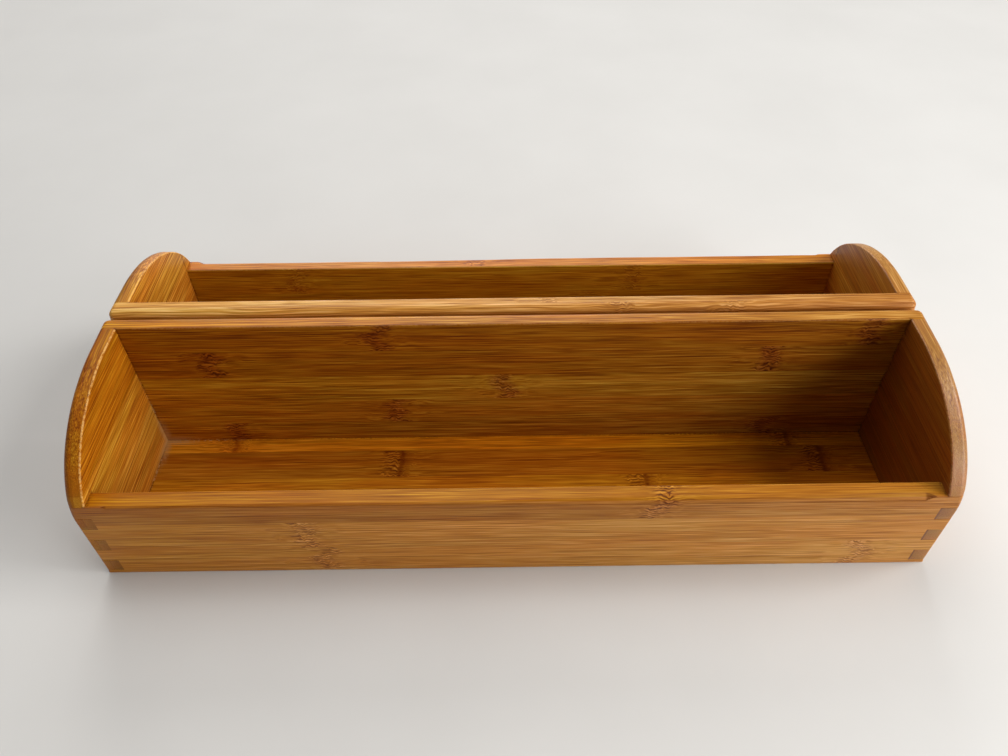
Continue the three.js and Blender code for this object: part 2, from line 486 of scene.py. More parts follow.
class Graph:
    """Short calls that add nodes to a tree and wire them."""

    def __init__(self, tree: bpy.types.NodeTree) -> None:
        """Keeps the tree to fill."""
        self.tree = tree

    def add(self, kind: str, feeds: dict[str | int, Source] | None = None,
            **settings: object) -> bpy.types.Node:
        """Adds a node.

        Args:
            kind: the node's type name.
            feeds: what each input gets, a socket or a plain value.
            settings: the node's own properties.

        Returns:
            The node.
        """
        node = self.tree.nodes.new(kind)
        for name, value in settings.items():
            setattr(node, name, value)
        for socket, source in (feeds or {}).items():
            self.feed(node.inputs[socket], source)
        return node

    def feed(self, socket: Socket, source: Source) -> None:
        """Links a socket, or sets its plain value.

        Args:
            socket: the input.
            source: an output to link, or the value.
        """
        if isinstance(source, Socket):
            self.tree.links.new(source, socket)
        elif socket.type == "RGBA":
            socket.default_value = (*source, 1.0)
        else:
            socket.default_value = source

    def math(self, operation: str, *operands: Source, clamp: bool = False) -> Socket:
        """A Math node's result."""
        feeds = dict(enumerate(operands))
        return self.add("ShaderNodeMath", feeds, operation=operation, use_clamp=clamp).outputs[0]

    def times(self, *factors: Source) -> Socket:
        """The product of some numbers."""
        return reduce(lambda first, second: self.math("MULTIPLY", first, second), factors)

    def plus(self, *parts: Source) -> Socket:
        """The sum of some numbers."""
        return reduce(lambda first, second: self.math("ADD", first, second), parts)

    def minus(self, whole: Source, part: Source) -> Socket:
        """The difference of two numbers."""
        return self.math("SUBTRACT", whole, part)

    def between(self, share: Source, first: float, second: float) -> Socket:
        """The number a share of the way from one to another."""
        return self.math("MULTIPLY_ADD", share, second - first, first)

    def centred(self, value: Source, span: Source) -> Socket:
        """Moves a value from around a half to around zero and scales it."""
        return self.times(self.minus(value, 0.5), span)

    def vector(self, operation: str, *operands: Source) -> Socket:
        """A Vector Math node's result: its number for a dot product or length, otherwise its vector."""
        node = self.add("ShaderNodeVectorMath", dict(enumerate(operands)), operation=operation)
        return node.outputs["Value" if operation in ("DOT_PRODUCT", "LENGTH") else "Vector"]

    def join(self, x: Source, y: Source, z: Source) -> Socket:
        """A vector from three numbers."""
        return self.add("ShaderNodeCombineXYZ", {0: x, 1: y, 2: z}).outputs[0]

    def split(self, vector: Source) -> Sequence[Socket]:
        """The three numbers of a vector."""
        return self.add("ShaderNodeSeparateXYZ", {0: vector}).outputs

    def mark(self, name: str) -> Socket:
        """A number that the board's faces carry."""
        return self.add("ShaderNodeAttribute", attribute_name=name).outputs["Fac"]

    def fade(self, value: Source, low: Source, high: Source, start: float = 0.0,
             end: float = 1.0) -> Socket:
        """A smooth step.

        Args:
            value: the number that decides.
            low: where the step starts.
            high: where it ends.
            start: the result before it.
            end: the result after it.

        Returns:
            The result.
        """
        feeds = {"Value": value, "From Min": low, "From Max": high, "To Min": start, "To Max": end}
        return self.add("ShaderNodeMapRange", feeds, interpolation_type="SMOOTHSTEP").outputs["Result"]

    def fall(self, value: Source, low: Source, high: Source) -> Socket:
        """A smooth step down, from 1 before it to 0 after it."""
        return self.fade(value, low, high, 1.0, 0.0)

    def close(self, value: Source, reach: Pair) -> Socket:
        """Whether a distance is near zero: 1 up to the reach's start and 0 past its end."""
        return self.fall(self.math("ABSOLUTE", value), *reach)

    def noise(self, place: Source, weave: Weave) -> Socket:
        """Noise whose pattern is stretched along the grain.

        Args:
            place: the point, as (along, across, through).
            weave: its pattern.

        Returns:
            A number from 0 to 1.
        """
        stretch = (weave.along, weave.across, weave.across)
        feeds = {"Vector": self.vector("MULTIPLY", place, stretch), "Scale": 1.0,
                 "Detail": weave.detail, "Roughness": weave.roughness}
        return self.add("ShaderNodeTexNoise", feeds).outputs[0]

    def ripple(self, place: Source, weave: Weave) -> Socket:
        """The same noise around zero, as wide as its span."""
        return self.centred(self.noise(place, weave), weave.span)

    def blend(self, share: Source, first: Source, second: Source, mode: str = "MIX") -> Socket:
        """A colour between two."""
        feeds = {0: share, 6: first, 7: second}
        return self.add("ShaderNodeMix", feeds, data_type="RGBA", blend_type=mode).outputs[2]

    def shade(self, share: Source, colour: Source, factor: Source) -> Socket:
        """A colour multiplied by another one, to a given share."""
        return self.blend(share, colour, factor, "MULTIPLY")

    def ramp(self, value: Source, stops: Iterable[tuple[float, Sequence[float]]],
             interpolation: str = "LINEAR") -> Socket:
        """A colour read from a ramp.

        Args:
            value: where on the ramp, from 0 to 1.
            stops: each stop's place and colour, with a fourth number for the alpha output if wanted.
            interpolation: how the ramp goes from stop to stop.

        Returns:
            The colour.
        """
        node = self.add("ShaderNodeValToRGB", {0: value})
        node.color_ramp.interpolation = interpolation
        elements = node.color_ramp.elements
        while len(elements) > 1:
            elements.remove(elements[-1])
        for index, (place, colour) in enumerate(stops):
            element = elements[0] if index == 0 else elements.new(place)
            element.position = place
            element.color = (*colour, 1.0)[:4]
        return node.outputs[0]


# Grain patterns


class Kind(Enum):
    """Kinds of group socket."""

    NUMBER = "NodeSocketFloat"
    VECTOR = "NodeSocketVector"


class PatternGroup:
    """A shader node group: named inputs and outputs, built once and placed where it is needed."""

    NAME = ""
    INPUTS: dict[str, Kind] = {}
    OUTPUTS: dict[str, Kind] = {}

    def __init__(self) -> None:
        """Makes the sockets and fills the tree."""
        self.tree = bpy.data.node_groups.new(self.NAME, "ShaderNodeTree")
        for side, sockets in (("INPUT", self.INPUTS), ("OUTPUT", self.OUTPUTS)):
            for name, kind in sockets.items():
                self.tree.interface.new_socket(name, in_out=side, socket_type=kind.value)
        graph = Graph(self.tree)
        given = graph.add("NodeGroupInput").outputs
        graph.add("NodeGroupOutput", self.fill(graph, given))

    def fill(self, graph: Graph, given: Sockets) -> dict[str, Source]:
        """Wires the pattern and returns what each output gets."""
        raise NotImplementedError

    def place(self, graph: Graph, **feeds: Source) -> Sockets:
        """Places the group in a material.

        Args:
            graph: the material's graph.
            feeds: the inputs, named in snake case.

        Returns:
            The group node's outputs.
        """
        node = graph.add("ShaderNodeGroup", node_tree=self.tree)
        for name, source in feeds.items():
            graph.feed(node.inputs[name.replace("_", " ").title()], source)
        return node.outputs


class BoardPlace(PatternGroup):
    """Turns a point of the tray into board measures in millimetres: along, across and through.

    The place comes from Object coordinates, and the end grain from the surface's direction.
    """

    NAME = "board_place"
    INPUTS = {"Along": Kind.VECTOR, "Across": Kind.VECTOR, "Through": Kind.VECTOR, "Origin": Kind.VECTOR}
    OUTPUTS = {"Point": Kind.VECTOR, "Place": Kind.VECTOR, "End Grain": Kind.NUMBER}

    END_GRAIN = (0.55, 0.95)

    def fill(self, graph: Graph, given: Sockets) -> dict[str, Source]:
        """Measures the point along the board's three directions.

        Args:
            graph: the group's graph.
            given: the group's inputs.

        Returns:
            What each output gets.
        """
        coordinate = graph.add("ShaderNodeTexCoord").outputs
        point = graph.vector("SCALE", coordinate["Object"])
        point.node.inputs["Scale"].default_value = 1 / MM
        parts = [graph.vector("DOT_PRODUCT", point, given[name]) for name in ("Along", "Across", "Through")]
        place = graph.vector("SUBTRACT", graph.join(*parts), given["Origin"])
        facing = graph.math("ABSOLUTE", graph.vector("DOT_PRODUCT", coordinate["Normal"], given["Along"]))
        return {"Point": point, "Place": place, "End Grain": graph.fade(facing, *self.END_GRAIN)}


class StripLayup(PatternGroup):
    """The strips and plies that a board is pressed from, numbered upwards and ply by ply."""

    NAME = "strip_layup"
    INPUTS = {"Place": Kind.VECTOR, "Strip Width": Kind.NUMBER, "Ply Thickness": Kind.NUMBER,
              "Strips": Kind.NUMBER, "Seed": Kind.NUMBER}
    OUTPUTS = {"Number": Kind.NUMBER, "Ply": Kind.NUMBER, "Seam": Kind.NUMBER, "Shifted": Kind.VECTOR}

    SEAM_WIDTH = 0.35
    JUMP = (91.7, 13.3, 7.1)

    def fill(self, graph: Graph, given: Sockets) -> dict[str, Source]:
        """Numbers the strips, finds the seams between them and gives each its own part of the pattern.

        Args:
            graph: the group's graph.
            given: the group's inputs.

        Returns:
            What each output gets.
        """
        _, across, through = graph.split(given["Place"])
        strip = graph.math("DIVIDE", across, given["Strip Width"])
        row = graph.math("FLOOR", strip)
        ply = graph.math("FLOOR", graph.math("DIVIDE", through, given["Ply Thickness"]))
        held = graph.math("MINIMUM", graph.math("MAXIMUM", ply, 0.0), 1.0)
        number = graph.math("MULTIPLY_ADD", held, given["Strips"], row)
        part = graph.math("FRACT", strip)
        edge = graph.times(graph.math("MINIMUM", part, graph.minus(1.0, part)), given["Strip Width"])
        ply_edge = graph.math("ABSOLUTE", graph.minus(through, given["Ply Thickness"]))
        mixed = graph.plus(number, given["Seed"])
        shift = graph.join(*(graph.times(mixed, jump) for jump in self.JUMP))
        return {
            "Number": number,
            "Ply": held,
            "Seam": graph.fall(graph.math("MINIMUM", edge, ply_edge), 0.0, self.SEAM_WIDTH),
            "Shifted": graph.vector("ADD", given["Place"], shift),
        }


class Knuckles(PatternGroup):
    """The culm's knuckles: where one crosses a strip, the fibres ripple and break up into dashes.

    On a strip cut deeper into the culm wall the knuckle ends in a ring, a dark line across the strip
    with a shaded patch behind it. Pairs named with and without a ring give the two kinds' values.
    """

    NAME = "knuckles"
    INPUTS = {"Place": Kind.VECTOR, "Shifted": Kind.VECTOR, "First": Kind.NUMBER, "Second": Kind.NUMBER,
              "Ring": Kind.NUMBER}
    OUTPUTS = {"Zone": Kind.NUMBER, "Dash": Kind.NUMBER, "Glint": Kind.NUMBER, "Core": Kind.NUMBER,
               "Patch": Kind.NUMBER, "Bent": Kind.VECTOR}

    RIPPLE = 2.1
    SWAY = Weave(0.004, 0.12)
    SWING_WITHOUT_AND_WITH_RING = (22.0, 3.0)
    FRINGE = Weave(0.10, 0.45, detail=2.0, span=10.0)
    ZONE_WITHOUT_AND_WITH_RING = (2.0, 6.0)
    ZONE_EDGE = 6.5
    HALO = (6.0, 30.0)
    SLOW_BEND = Weave(0.055, 0.13, span=3.4)
    QUICK_BEND = Weave(0.30, 0.10, detail=1.5, span=2.6)
    UNEVEN = Weave(0.30, 0.55, span=3.8)
    DASH_EDGE = (0.10, 0.90)
    GLINT_EDGE = (-0.55, -1.25)
    RING_SIDE = (-0.8, 0.8)
    LINE_PLACE = 1.0
    LINE_WIDTH = (0.3, 2.6)
    BREAKS = Weave(0.20, 0.28, detail=2.0)
    BREAK_EDGE = (0.24, 0.50)
    PATCH_REACH = (2.5, 8.0)

    def fill(self, graph: Graph, given: Sockets) -> dict[str, Source]:
        """Ripples the fibres near a knuckle and breaks its zone up into dashes.

        Args:
            graph: the group's graph.
            given: the group's inputs.

        Returns:
            What each output gets.
        """
        shifted, ring = given["Shifted"], given["Ring"]
        along = graph.split(given["Place"])[0]
        swing = graph.between(ring, *self.SWING_WITHOUT_AND_WITH_RING)
        sway = graph.centred(graph.noise(shifted, self.SWAY), swing)
        gaps = [graph.plus(graph.minus(along, given[name]), sway) for name in ("First", "Second")]
        sizes = [graph.math("ABSOLUTE", gap) for gap in gaps]
        far = graph.math("MINIMUM", *sizes)
        signed = graph.math("MULTIPLY_ADD", graph.math("LESS_THAN", *sizes), graph.minus(*gaps), gaps[1])

        reach = graph.between(ring, *self.ZONE_WITHOUT_AND_WITH_RING)
        limit = graph.plus(reach, self.ZONE_EDGE)
        zone = graph.fall(graph.plus(far, graph.ripple(shifted, self.FRINGE)), reach, limit)
        slow = graph.times(graph.ripple(shifted, self.SLOW_BEND), graph.fall(far, *self.HALO))
        lift = graph.math("MULTIPLY_ADD", graph.ripple(shifted, self.QUICK_BEND), zone, slow)
        bent = graph.vector("ADD", shifted, graph.join(0.0, lift, lift))
        _, across, through = graph.split(bent)
        phase = graph.times(graph.plus(across, through), 2 * math.pi / self.RIPPLE)
        wave = graph.plus(graph.math("SINE", phase), graph.ripple(bent, self.UNEVEN))

        behind = graph.times(ring, graph.fade(signed, *self.RING_SIDE))
        before = graph.times(zone, graph.minus(1.0, behind))
        line = graph.close(graph.minus(signed, self.LINE_PLACE), self.LINE_WIDTH)
        broken = graph.fade(graph.noise(shifted, self.BREAKS), *self.BREAK_EDGE)
        return {
            "Zone": before,
            "Dash": graph.times(graph.fade(wave, *self.DASH_EDGE), before),
            "Glint": graph.times(graph.fade(wave, *self.GLINT_EDGE), before),
            "Core": graph.times(line, ring, broken),
            "Patch": graph.times(behind, graph.fall(signed, *self.PATCH_REACH)),
            "Bent": bent,
        }


class Fibres(PatternGroup):
    """The fibre bundles that run along every strip, as fine streaks or, on end grain, as specks."""

    NAME = "fibres"
    INPUTS = {"Place": Kind.VECTOR, "Wander": Kind.NUMBER}
    OUTPUTS = {"Streak": Kind.NUMBER, "Vein": Kind.NUMBER, "Thread": Kind.NUMBER, "Hue": Kind.NUMBER,
               "Speck": Kind.NUMBER, "Pit": Kind.NUMBER}

    SWAY = Weave(0.018, 0.10, span=2.2)
    STREAKS = (
        Weave(0.006, 0.26, detail=2.0, roughness=0.6, span=0.52),
        Weave(0.013, 1.05, detail=2.0, roughness=0.8, span=1.50),
        Weave(0.045, 2.0, span=1.25),
    )
    LINES = Weave(0.014, 1.7)
    VEIN_EDGE = (0.60, 0.68)
    THREAD_EDGE = (0.40, 0.32)
    HUE = Weave(0.010, 0.085, detail=3.0, roughness=0.6)
    SPECKS = Weave(1.6, 2.2, detail=2.0, roughness=0.7)
    PIT_EDGE = (0.79, 0.84)

    def fill(self, graph: Graph, given: Sockets) -> dict[str, Source]:
        """Layers noises of different stretch over slightly wandering fibres.

        Args:
            graph: the group's graph.
            given: the group's inputs.

        Returns:
            What each output gets.
        """
        wander = graph.times(graph.ripple(given["Place"], self.SWAY), given["Wander"])
        place = graph.vector("ADD", given["Place"], graph.join(0.0, wander, wander))
        lines = graph.noise(place, self.LINES)
        speck = graph.noise(given["Place"], self.SPECKS)
        return {
            "Streak": graph.plus(*(graph.ripple(place, weave) for weave in self.STREAKS)),
            "Vein": graph.fade(lines, *self.VEIN_EDGE),
            "Thread": graph.fade(lines, *self.THREAD_EDGE),
            "Hue": graph.noise(given["Place"], self.HUE),
            "Speck": speck,
            "Pit": graph.fade(speck, *self.PIT_EDGE),
        }


class CornerDirtShadeAndGlue(PatternGroup):
    """Dirt and painted shade in the inner corners of the bins, and the smear of dried glue around one spot.
    """

    NAME = "corner_dirt_shade_and_glue"
    INPUTS = {"Point": Kind.VECTOR, "Grit": Kind.NUMBER, "Spot": Kind.VECTOR, "Half": Kind.NUMBER,
              "Near": Kind.NUMBER, "Away": Kind.NUMBER, "Floor": Kind.NUMBER, "Ledge": Kind.NUMBER}
    OUTPUTS = {"Dirt And Shade": Kind.NUMBER, "Smear": Kind.NUMBER}

    ON_FACE = (0.6, 1.4)
    AT_CORNER = (0.25, 1.3)
    LEDGE_END = (0.3, 2.2)
    LEDGE_TOP = (0.3, 1.2)
    LEDGE_START = 0.3
    FILM = (0.8, 5.0)
    BLOT = (3.0, 24.0)
    BLOT_SHARE = 0.8
    BLOT_RAGGED = 30.0
    CRUMB_EDGE = (0.50, 0.42)
    CRUMB_REACH = (16.0, 60.0)

    def fill(self, graph: Graph, given: Sockets) -> dict[str, Source]:
        """Finds points that lie on one inner face and close to the next one.

        Args:
            graph: the group's graph.
            given: the group's inputs.

        Returns:
            What each output gets.
        """
        x, y, z = graph.split(given["Point"])
        y = graph.math("ABSOLUTE", y)
        end = graph.minus(given["Half"], graph.math("ABSOLUTE", x))
        side = graph.math("MINIMUM", graph.minus(y, given["Near"]), graph.minus(given["Away"], y))
        foot = graph.minus(z, given["Floor"])
        less = graph.math("MINIMUM", end, side)
        more = graph.math("MAXIMUM", end, side)
        within = graph.close(graph.math("MINIMUM", less, foot), self.ON_FACE)
        second = graph.math("MAXIMUM", less, graph.math("MINIMUM", more, foot))
        inner = graph.times(within, graph.close(second, self.AT_CORNER))

        beyond = graph.math("GREATER_THAN", y, graph.minus(given["Away"], self.LEDGE_START))
        rise = graph.minus(z, given["Ledge"])
        ledge = graph.times(graph.close(end, self.LEDGE_END), graph.close(rise, self.LEDGE_TOP), beyond)

        gap = graph.vector("LENGTH", graph.vector("SUBTRACT", given["Point"], given["Spot"]))
        ragged = graph.plus(gap, graph.centred(given["Grit"], self.BLOT_RAGGED))
        film = graph.times(within, graph.close(second, self.FILM))
        blot = graph.times(graph.fade(ragged, *self.BLOT, self.BLOT_SHARE, 0.0), film)
        crumbs = graph.times(graph.fade(given["Grit"], *self.CRUMB_EDGE), graph.fall(gap, *self.CRUMB_REACH))
        # dirt and painted shade along the inner corners, and on the low wall's top beside the end boards
        return {
            "Dirt And Shade": graph.math("MAXIMUM", inner, ledge),
            "Smear": graph.math("MAXIMUM", blot, graph.times(crumbs, inner)),
        }


class Patterns:
    """All the shared groups, each built once."""

    def __init__(self, size: BinSizes) -> None:
        """Builds the groups.

        Args:
            size: the bins' sizes, for the places of their inner corners.
        """
        self.room = {
            "half": size.inner_half,
            "near": size.gap / 2 + size.board,
            "away": size.to_low_face - size.board,
            "floor": size.floor_top,
            "ledge": size.low_wall,
        }
        self.dirt_shade_and_glue = CornerDirtShadeAndGlue()
        self.place = BoardPlace()
        self.layup = StripLayup()
        self.knuckles = Knuckles()
        self.fibres = Fibres()


# Finishes


@dataclass(frozen=True)
class Strip:
    """One pressed strip: how light, red and pale it is, and where knuckles cross it, in millimetres.

    The slope is painted light and shade: the rise of its lightness from one end of the tray to the
    other. Bold is how strongly its knuckles show, and the cool cast is painted light: how much paler
    it grows along the tray than its board.
    """

    light: float = 1.0
    red: float = 0.0
    knuckles: tuple[float, ...] = ()
    pale: float = 0.0
    slope: float = 0.0
    bold: float = 0.9
    cool: float = 0.0

    RED_CAST = (0.10, -0.16, -0.30)

    @property
    def tint(self) -> Colour:
        """What its lightness, redness and paleness multiply the bamboo's colour by."""
        red, green, blue = (self.light * (1 + cast * self.red) for cast in self.RED_CAST)
        return red, green, blue * (1 + self.pale)


Plies = tuple[tuple[Strip, ...], tuple[Strip, ...]]


class Grain(Enum):
    """Which way a board's grain, width and thickness lie in the tray."""

    WALL = ((1, 0, 0), (0, 0, 1), (0, 1, 0))
    END = ((0, 1, 0), (0, 0, 1), (1, 0, 0))
    FLOOR = ((1, 0, 0), (0, 1, 0), (0, 0, 1))


class Tint(Enum):
    """What a feature or a mark multiplies the bamboo's colour by."""

    REDDISH = (1.04, 0.93, 0.84)
    OLIVE = (0.96, 1.01, 0.98)
    VEIN = (0.60, 0.46, 0.38)
    THREAD = (1.25, 1.36, 1.80)
    KNUCKLE = (0.78, 0.56, 1.10)
    GLINT = (1.42, 1.60, 2.40)
    DASH = (0.40, 0.29, 0.31)
    SEAM = (0.70, 0.58, 0.50)
    RING = (0.66, 0.54, 0.48)
    PATCH = (0.72, 0.60, 0.50)
    CUT = (0.53, 0.51, 0.50)
    # painted shade in the lip's crease and scoops
    CREASE = (0.45, 0.34, 0.28)
    # dirt and painted shade in the inner corners
    CORNER_DIRT_AND_SHADE = (0.38, 0.27, 0.20)
    PIT = (0.25, 0.18, 0.18)


@dataclass(frozen=True)
class BambooFinish:
    """Caramelised bamboo under satin lacquer, pressed from wide strips in two plies.

    The strips are numbered upwards, or from front to back on a floor. The first ply faces the front,
    the left or the table. Cut is how dark the sawn finger ends are in each ply, heart is the pair of
    depths between which they turn dark, and the cool cast is painted light: how much paler the board
    grows along the tray.
    """

    name: str
    grain: Grain
    strip_width: float
    origin: Triple
    plies: Plies
    seed: float
    contrast: float = 1.0
    wander: float = 1.0
    drift: float = 1.0
    # how far the arrises take the worn colour, which is also a painted highlight
    wear: float = 0.10
    bruise: float = 0.7
    ring: float = 0.0
    sheen: float = 0.14
    cut: Pair = (1.0, 1.0)
    heart: Pair = (-2.0, -1.0)
    cool: float = 0.0
    smear: Triple = (0.0, 0.0, -900.0)
    ply_thickness: float = 4.5
    roughness: float = 0.40
    dark: Colour = (0.190, 0.050, 0.0030)
    middle: Colour = (0.410, 0.152, 0.0105)
    light: Colour = (0.620, 0.300, 0.0420)
    # worn wood, which also stands in for a painted highlight
    worn_and_highlight_colour: Colour = (0.850, 0.500, 0.160)
    glue_colour: Colour = (0.500, 0.285, 0.110)


class BambooMaterial:
    """The material of one finish, wired layer by layer."""

    KNUCKLE_SPAN = 500.0
    SLOPE_SPAN = 400.0
    COOL_SPAN = 8.0
    PAINTED_SLOPE_CAST = (1.0, 1.6, 1.8)
    PAINTED_COOL_CAST = (0.0, 0.12, 1.0)
    RIND_SHARE = 0.25
    HUE_SPAN = 0.30
    HUE_EDGE = (0.38, 0.62)
    SPECK_SPAN = 0.9
    VEIN_SHARE = 0.8
    THREAD_SHARE = 0.7
    SEAM_SHARE = 0.5
    PATCH_SHARE = 0.8
    GLUE_SHARE = 0.9
    GRIT = Weave(0.6, 0.6, detail=3.0, roughness=0.7)
    GRIT_SPECK_EDGE = (0.36, 0.60)
    DIRT_AND_SHADE_EDGE = (0.44, 0.60)
    DIRT_AND_SHADE_LEAST = 0.25
    TONE_GLOSS = -0.16
    WORN_ROUGHNESS = 0.2
    VEIN_DENT = -0.6
    DASH_DENT = -0.5
    SEAM_DENT = -0.4
    RELIEF = 0.12
    RELIEF_STRENGTH = 0.35
    COAT = 0.02
    COAT_ROUGHNESS = 0.22

    def __init__(self, finish: BambooFinish, patterns: Patterns) -> None:
        """Starts the material and places the shared groups in it with the finish's values.

        Args:
            finish: the finish.
            patterns: the shared groups.
        """
        self.finish = finish
        self.patterns = patterns
        self.material = bpy.data.materials.new(finish.name)
        self.material.use_nodes = True
        self.material.node_tree.nodes.clear()
        self.graph = graph = Graph(self.material.node_tree)
        along, across, through = finish.grain.value
        self.board = patterns.place.place(
            graph, along=along, across=across, through=through, origin=finish.origin)
        place = self.board["Place"]
        self.layup = patterns.layup.place(
            graph, place=place, strip_width=finish.strip_width, ply_thickness=finish.ply_thickness,
            strips=float(len(finish.plies[0])), seed=finish.seed)
        self.tint, self.places = self._strip_ramps()
        first, second = (graph.centred(spot, self.KNUCKLE_SPAN) for spot in graph.split(self.places)[:2])
        self.knuckle = patterns.knuckles.place(
            graph, place=place, shifted=self.layup["Shifted"], first=first, second=second, ring=finish.ring)
        self.fibre = patterns.fibres.place(graph, place=self.knuckle["Bent"], wander=finish.wander)

    def _strip_ramps(self) -> tuple[Socket, Socket]:
        """Reads each strip's own values from two ramps, which have a stop for every strip.

        Returns:
            The tint's colour with the painted cool cast in its alpha, and the knuckles' places, the
            painted light slope and the knuckles' strength packed in a colour.
        """
        strips = [strip for ply in self.finish.plies for strip in ply]
        count = len(strips)
        share = self.graph.math("DIVIDE", self.graph.plus(self.layup["Number"], 0.5), float(count))
        tints, places = [], []
        for index, strip in enumerate(strips):
            paling = (self.finish.cool + strip.cool) / self.COOL_SPAN + 0.5
            tints.append((index / count, (*strip.tint, paling)))
            spots = [spot / self.KNUCKLE_SPAN + 0.5 for spot in strip.knuckles]
            places.append((index / count, (*(spots + [0.0, 0.0])[:2], strip.slope + 0.5, strip.bold)))
        return self.graph.ramp(share, tints, "CONSTANT"), self.graph.ramp(share, places, "CONSTANT")

    def _tone(self) -> Socket:
        """How light the fibres are: in streaks along the board, in specks on its ends.

        Returns:
            The tone, from 0 to 1.
        """
        graph, fibre = self.graph, self.fibre
        drift = graph.centred(fibre["Hue"], self.HUE_SPAN)
        streak = graph.math("MULTIPLY_ADD", fibre["Streak"], self.finish.contrast, drift)
        speck = graph.centred(fibre["Speck"], self.SPECK_SPAN)
        grain = graph.math("MULTIPLY_ADD", graph.minus(speck, streak), self.board["End Grain"], streak)
        return graph.math("ADD", grain, 0.5, clamp=True)

    def _bare(self, tone: Source) -> Socket:
        """The colour of the bamboo, with painted light along the tray, before anything marks it.

        Args:
            tone: how light the fibres are.

        Returns:
            The colour, with its veins and threads, each strip's own tint, and the painted light slope and
            cool cast.
        """
        graph, finish, fibre = self.graph, self.finish, self.fibre
        colour = graph.ramp(tone, ((0.0, finish.dark), (0.5, finish.middle), (1.0, finish.light)))
        turn = graph.fade(fibre["Hue"], *self.HUE_EDGE)
        colour = graph.shade(finish.drift, colour, graph.blend(turn, Tint.REDDISH.value, Tint.OLIVE.value))
        long = graph.minus(1.0, self.board["End Grain"])
        vein = graph.times(fibre["Vein"], graph.times(long, self.VEIN_SHARE))
        colour = graph.shade(vein, colour, Tint.VEIN.value)
        thread = graph.times(fibre["Thread"], graph.times(long, self.THREAD_SHARE))
        colour = graph.shade(thread, colour, Tint.THREAD.value)

        # painted light along the tray: the slope lightens or darkens each strip from end to end, and the
        # cool cast shifts it cooler or warmer
        stretch = graph.math("DIVIDE", graph.split(self.board["Place"])[0], self.SLOPE_SPAN)
        slope = graph.minus(graph.split(self.places)[2], 0.5)
        rise = graph.vector("MULTIPLY", graph.times(slope, stretch), self.PAINTED_SLOPE_CAST)
        cool = graph.centred(self.tint.node.outputs["Alpha"], self.COOL_SPAN)
        cast = graph.vector("MULTIPLY", graph.times(stretch, cool), self.PAINTED_COOL_CAST)
        shift = graph.vector("ADD", graph.vector("ADD", rise, cast), (1.0, 1.0, 1.0))
        return graph.shade(1.0, graph.shade(1.0, colour, shift), self.tint)

    def _marked(self, colour: Source) -> Socket:
        """Adds the knuckles, the seams, the sawn finger ends and the painted shade in the creases.

        Args:
            colour: the colour so far.

        Returns:
            The colour with its marks.
        """
        graph, finish, knuckle = self.graph, self.finish, self.knuckle
        bold = self.places.node.outputs["Alpha"]
        dark = graph.between(self.layup["Ply"], *finish.cut)
        inside = graph.fade(graph.split(self.board["Place"])[2], *finish.heart, self.RIND_SHARE, 1.0)
        marks = (
            (graph.times(knuckle["Zone"], finish.bruise), Tint.KNUCKLE),
            (graph.times(knuckle["Glint"], bold), Tint.GLINT),
            (graph.times(knuckle["Dash"], bold), Tint.DASH),
            (graph.times(self.layup["Seam"], self.SEAM_SHARE), Tint.SEAM),
            (knuckle["Core"], Tint.RING),
            (graph.times(knuckle["Patch"], self.PATCH_SHARE), Tint.PATCH),
            (graph.times(graph.mark("finger"), graph.times(dark, inside)), Tint.CUT),
            (graph.mark("painted_crease_shade"), Tint.CREASE),
        )
        for share, tint in marks:
            colour = graph.shade(share, colour, tint.value)
        return colour

    def _used_and_painted(self, colour: Source) -> tuple[Socket, Socket]:
        """Adds what use has left, with painted light mixed in: rubbed arrises that also carry a painted
        highlight, corners darkened by dirt and painted shade, dried glue and pits.

        Args:
            colour: the colour so far.

        Returns:
            The colour, and how far the lacquer is worn off, a share that also carries the painted highlight.
        """
        graph, finish = self.graph, self.finish
        grit = graph.noise(self.board["Place"], self.GRIT)
        grit_specks = graph.fade(grit, *self.GRIT_SPECK_EDGE)
        # rubbed arrises lightened, as wear and as a painted highlight
        worn_and_highlit = graph.times(graph.mark("arris"), grit_specks, finish.wear)
        colour = graph.blend(worn_and_highlit, colour, finish.worn_and_highlight_colour)
        dirt_shade_and_glue = self.patterns.dirt_shade_and_glue.place(
            graph, point=self.board["Point"], grit=grit, spot=finish.smear, **self.patterns.room)
        # dirt and painted shade in the inner corners, broken into specks
        dirt_and_shade_share = graph.times(grit_specks, graph.fade(self.fibre["Hue"], *self.DIRT_AND_SHADE_EDGE, self.DIRT_AND_SHADE_LEAST, 1.0))
        colour = graph.shade(graph.times(dirt_shade_and_glue["Dirt And Shade"], dirt_and_shade_share), colour, Tint.CORNER_DIRT_AND_SHADE.value)
        colour = graph.blend(graph.times(dirt_shade_and_glue["Smear"], self.GLUE_SHARE), colour, finish.glue_colour)
        return graph.shade(self.fibre["Pit"], colour, Tint.PIT.value), worn_and_highlit

    def _relief(self) -> Socket:
        """The feel of the surface: raised fibres, with veins, dashes and seams sunk a little.

        Returns:
            The bumped normal.
        """
        height = self.fibre["Streak"]
        dents = (
            (self.fibre["Vein"], self.VEIN_DENT),
            (self.knuckle["Dash"], self.DASH_DENT),
            (self.layup["Seam"], self.SEAM_DENT),
        )
        for dent, depth in dents:
            height = self.graph.math("MULTIPLY_ADD", dent, depth, height)
        feeds = {"Strength": self.RELIEF_STRENGTH, "Distance": self.RELIEF * MM, "Height": height}
        return self.graph.add("ShaderNodeBump", feeds).outputs[0]

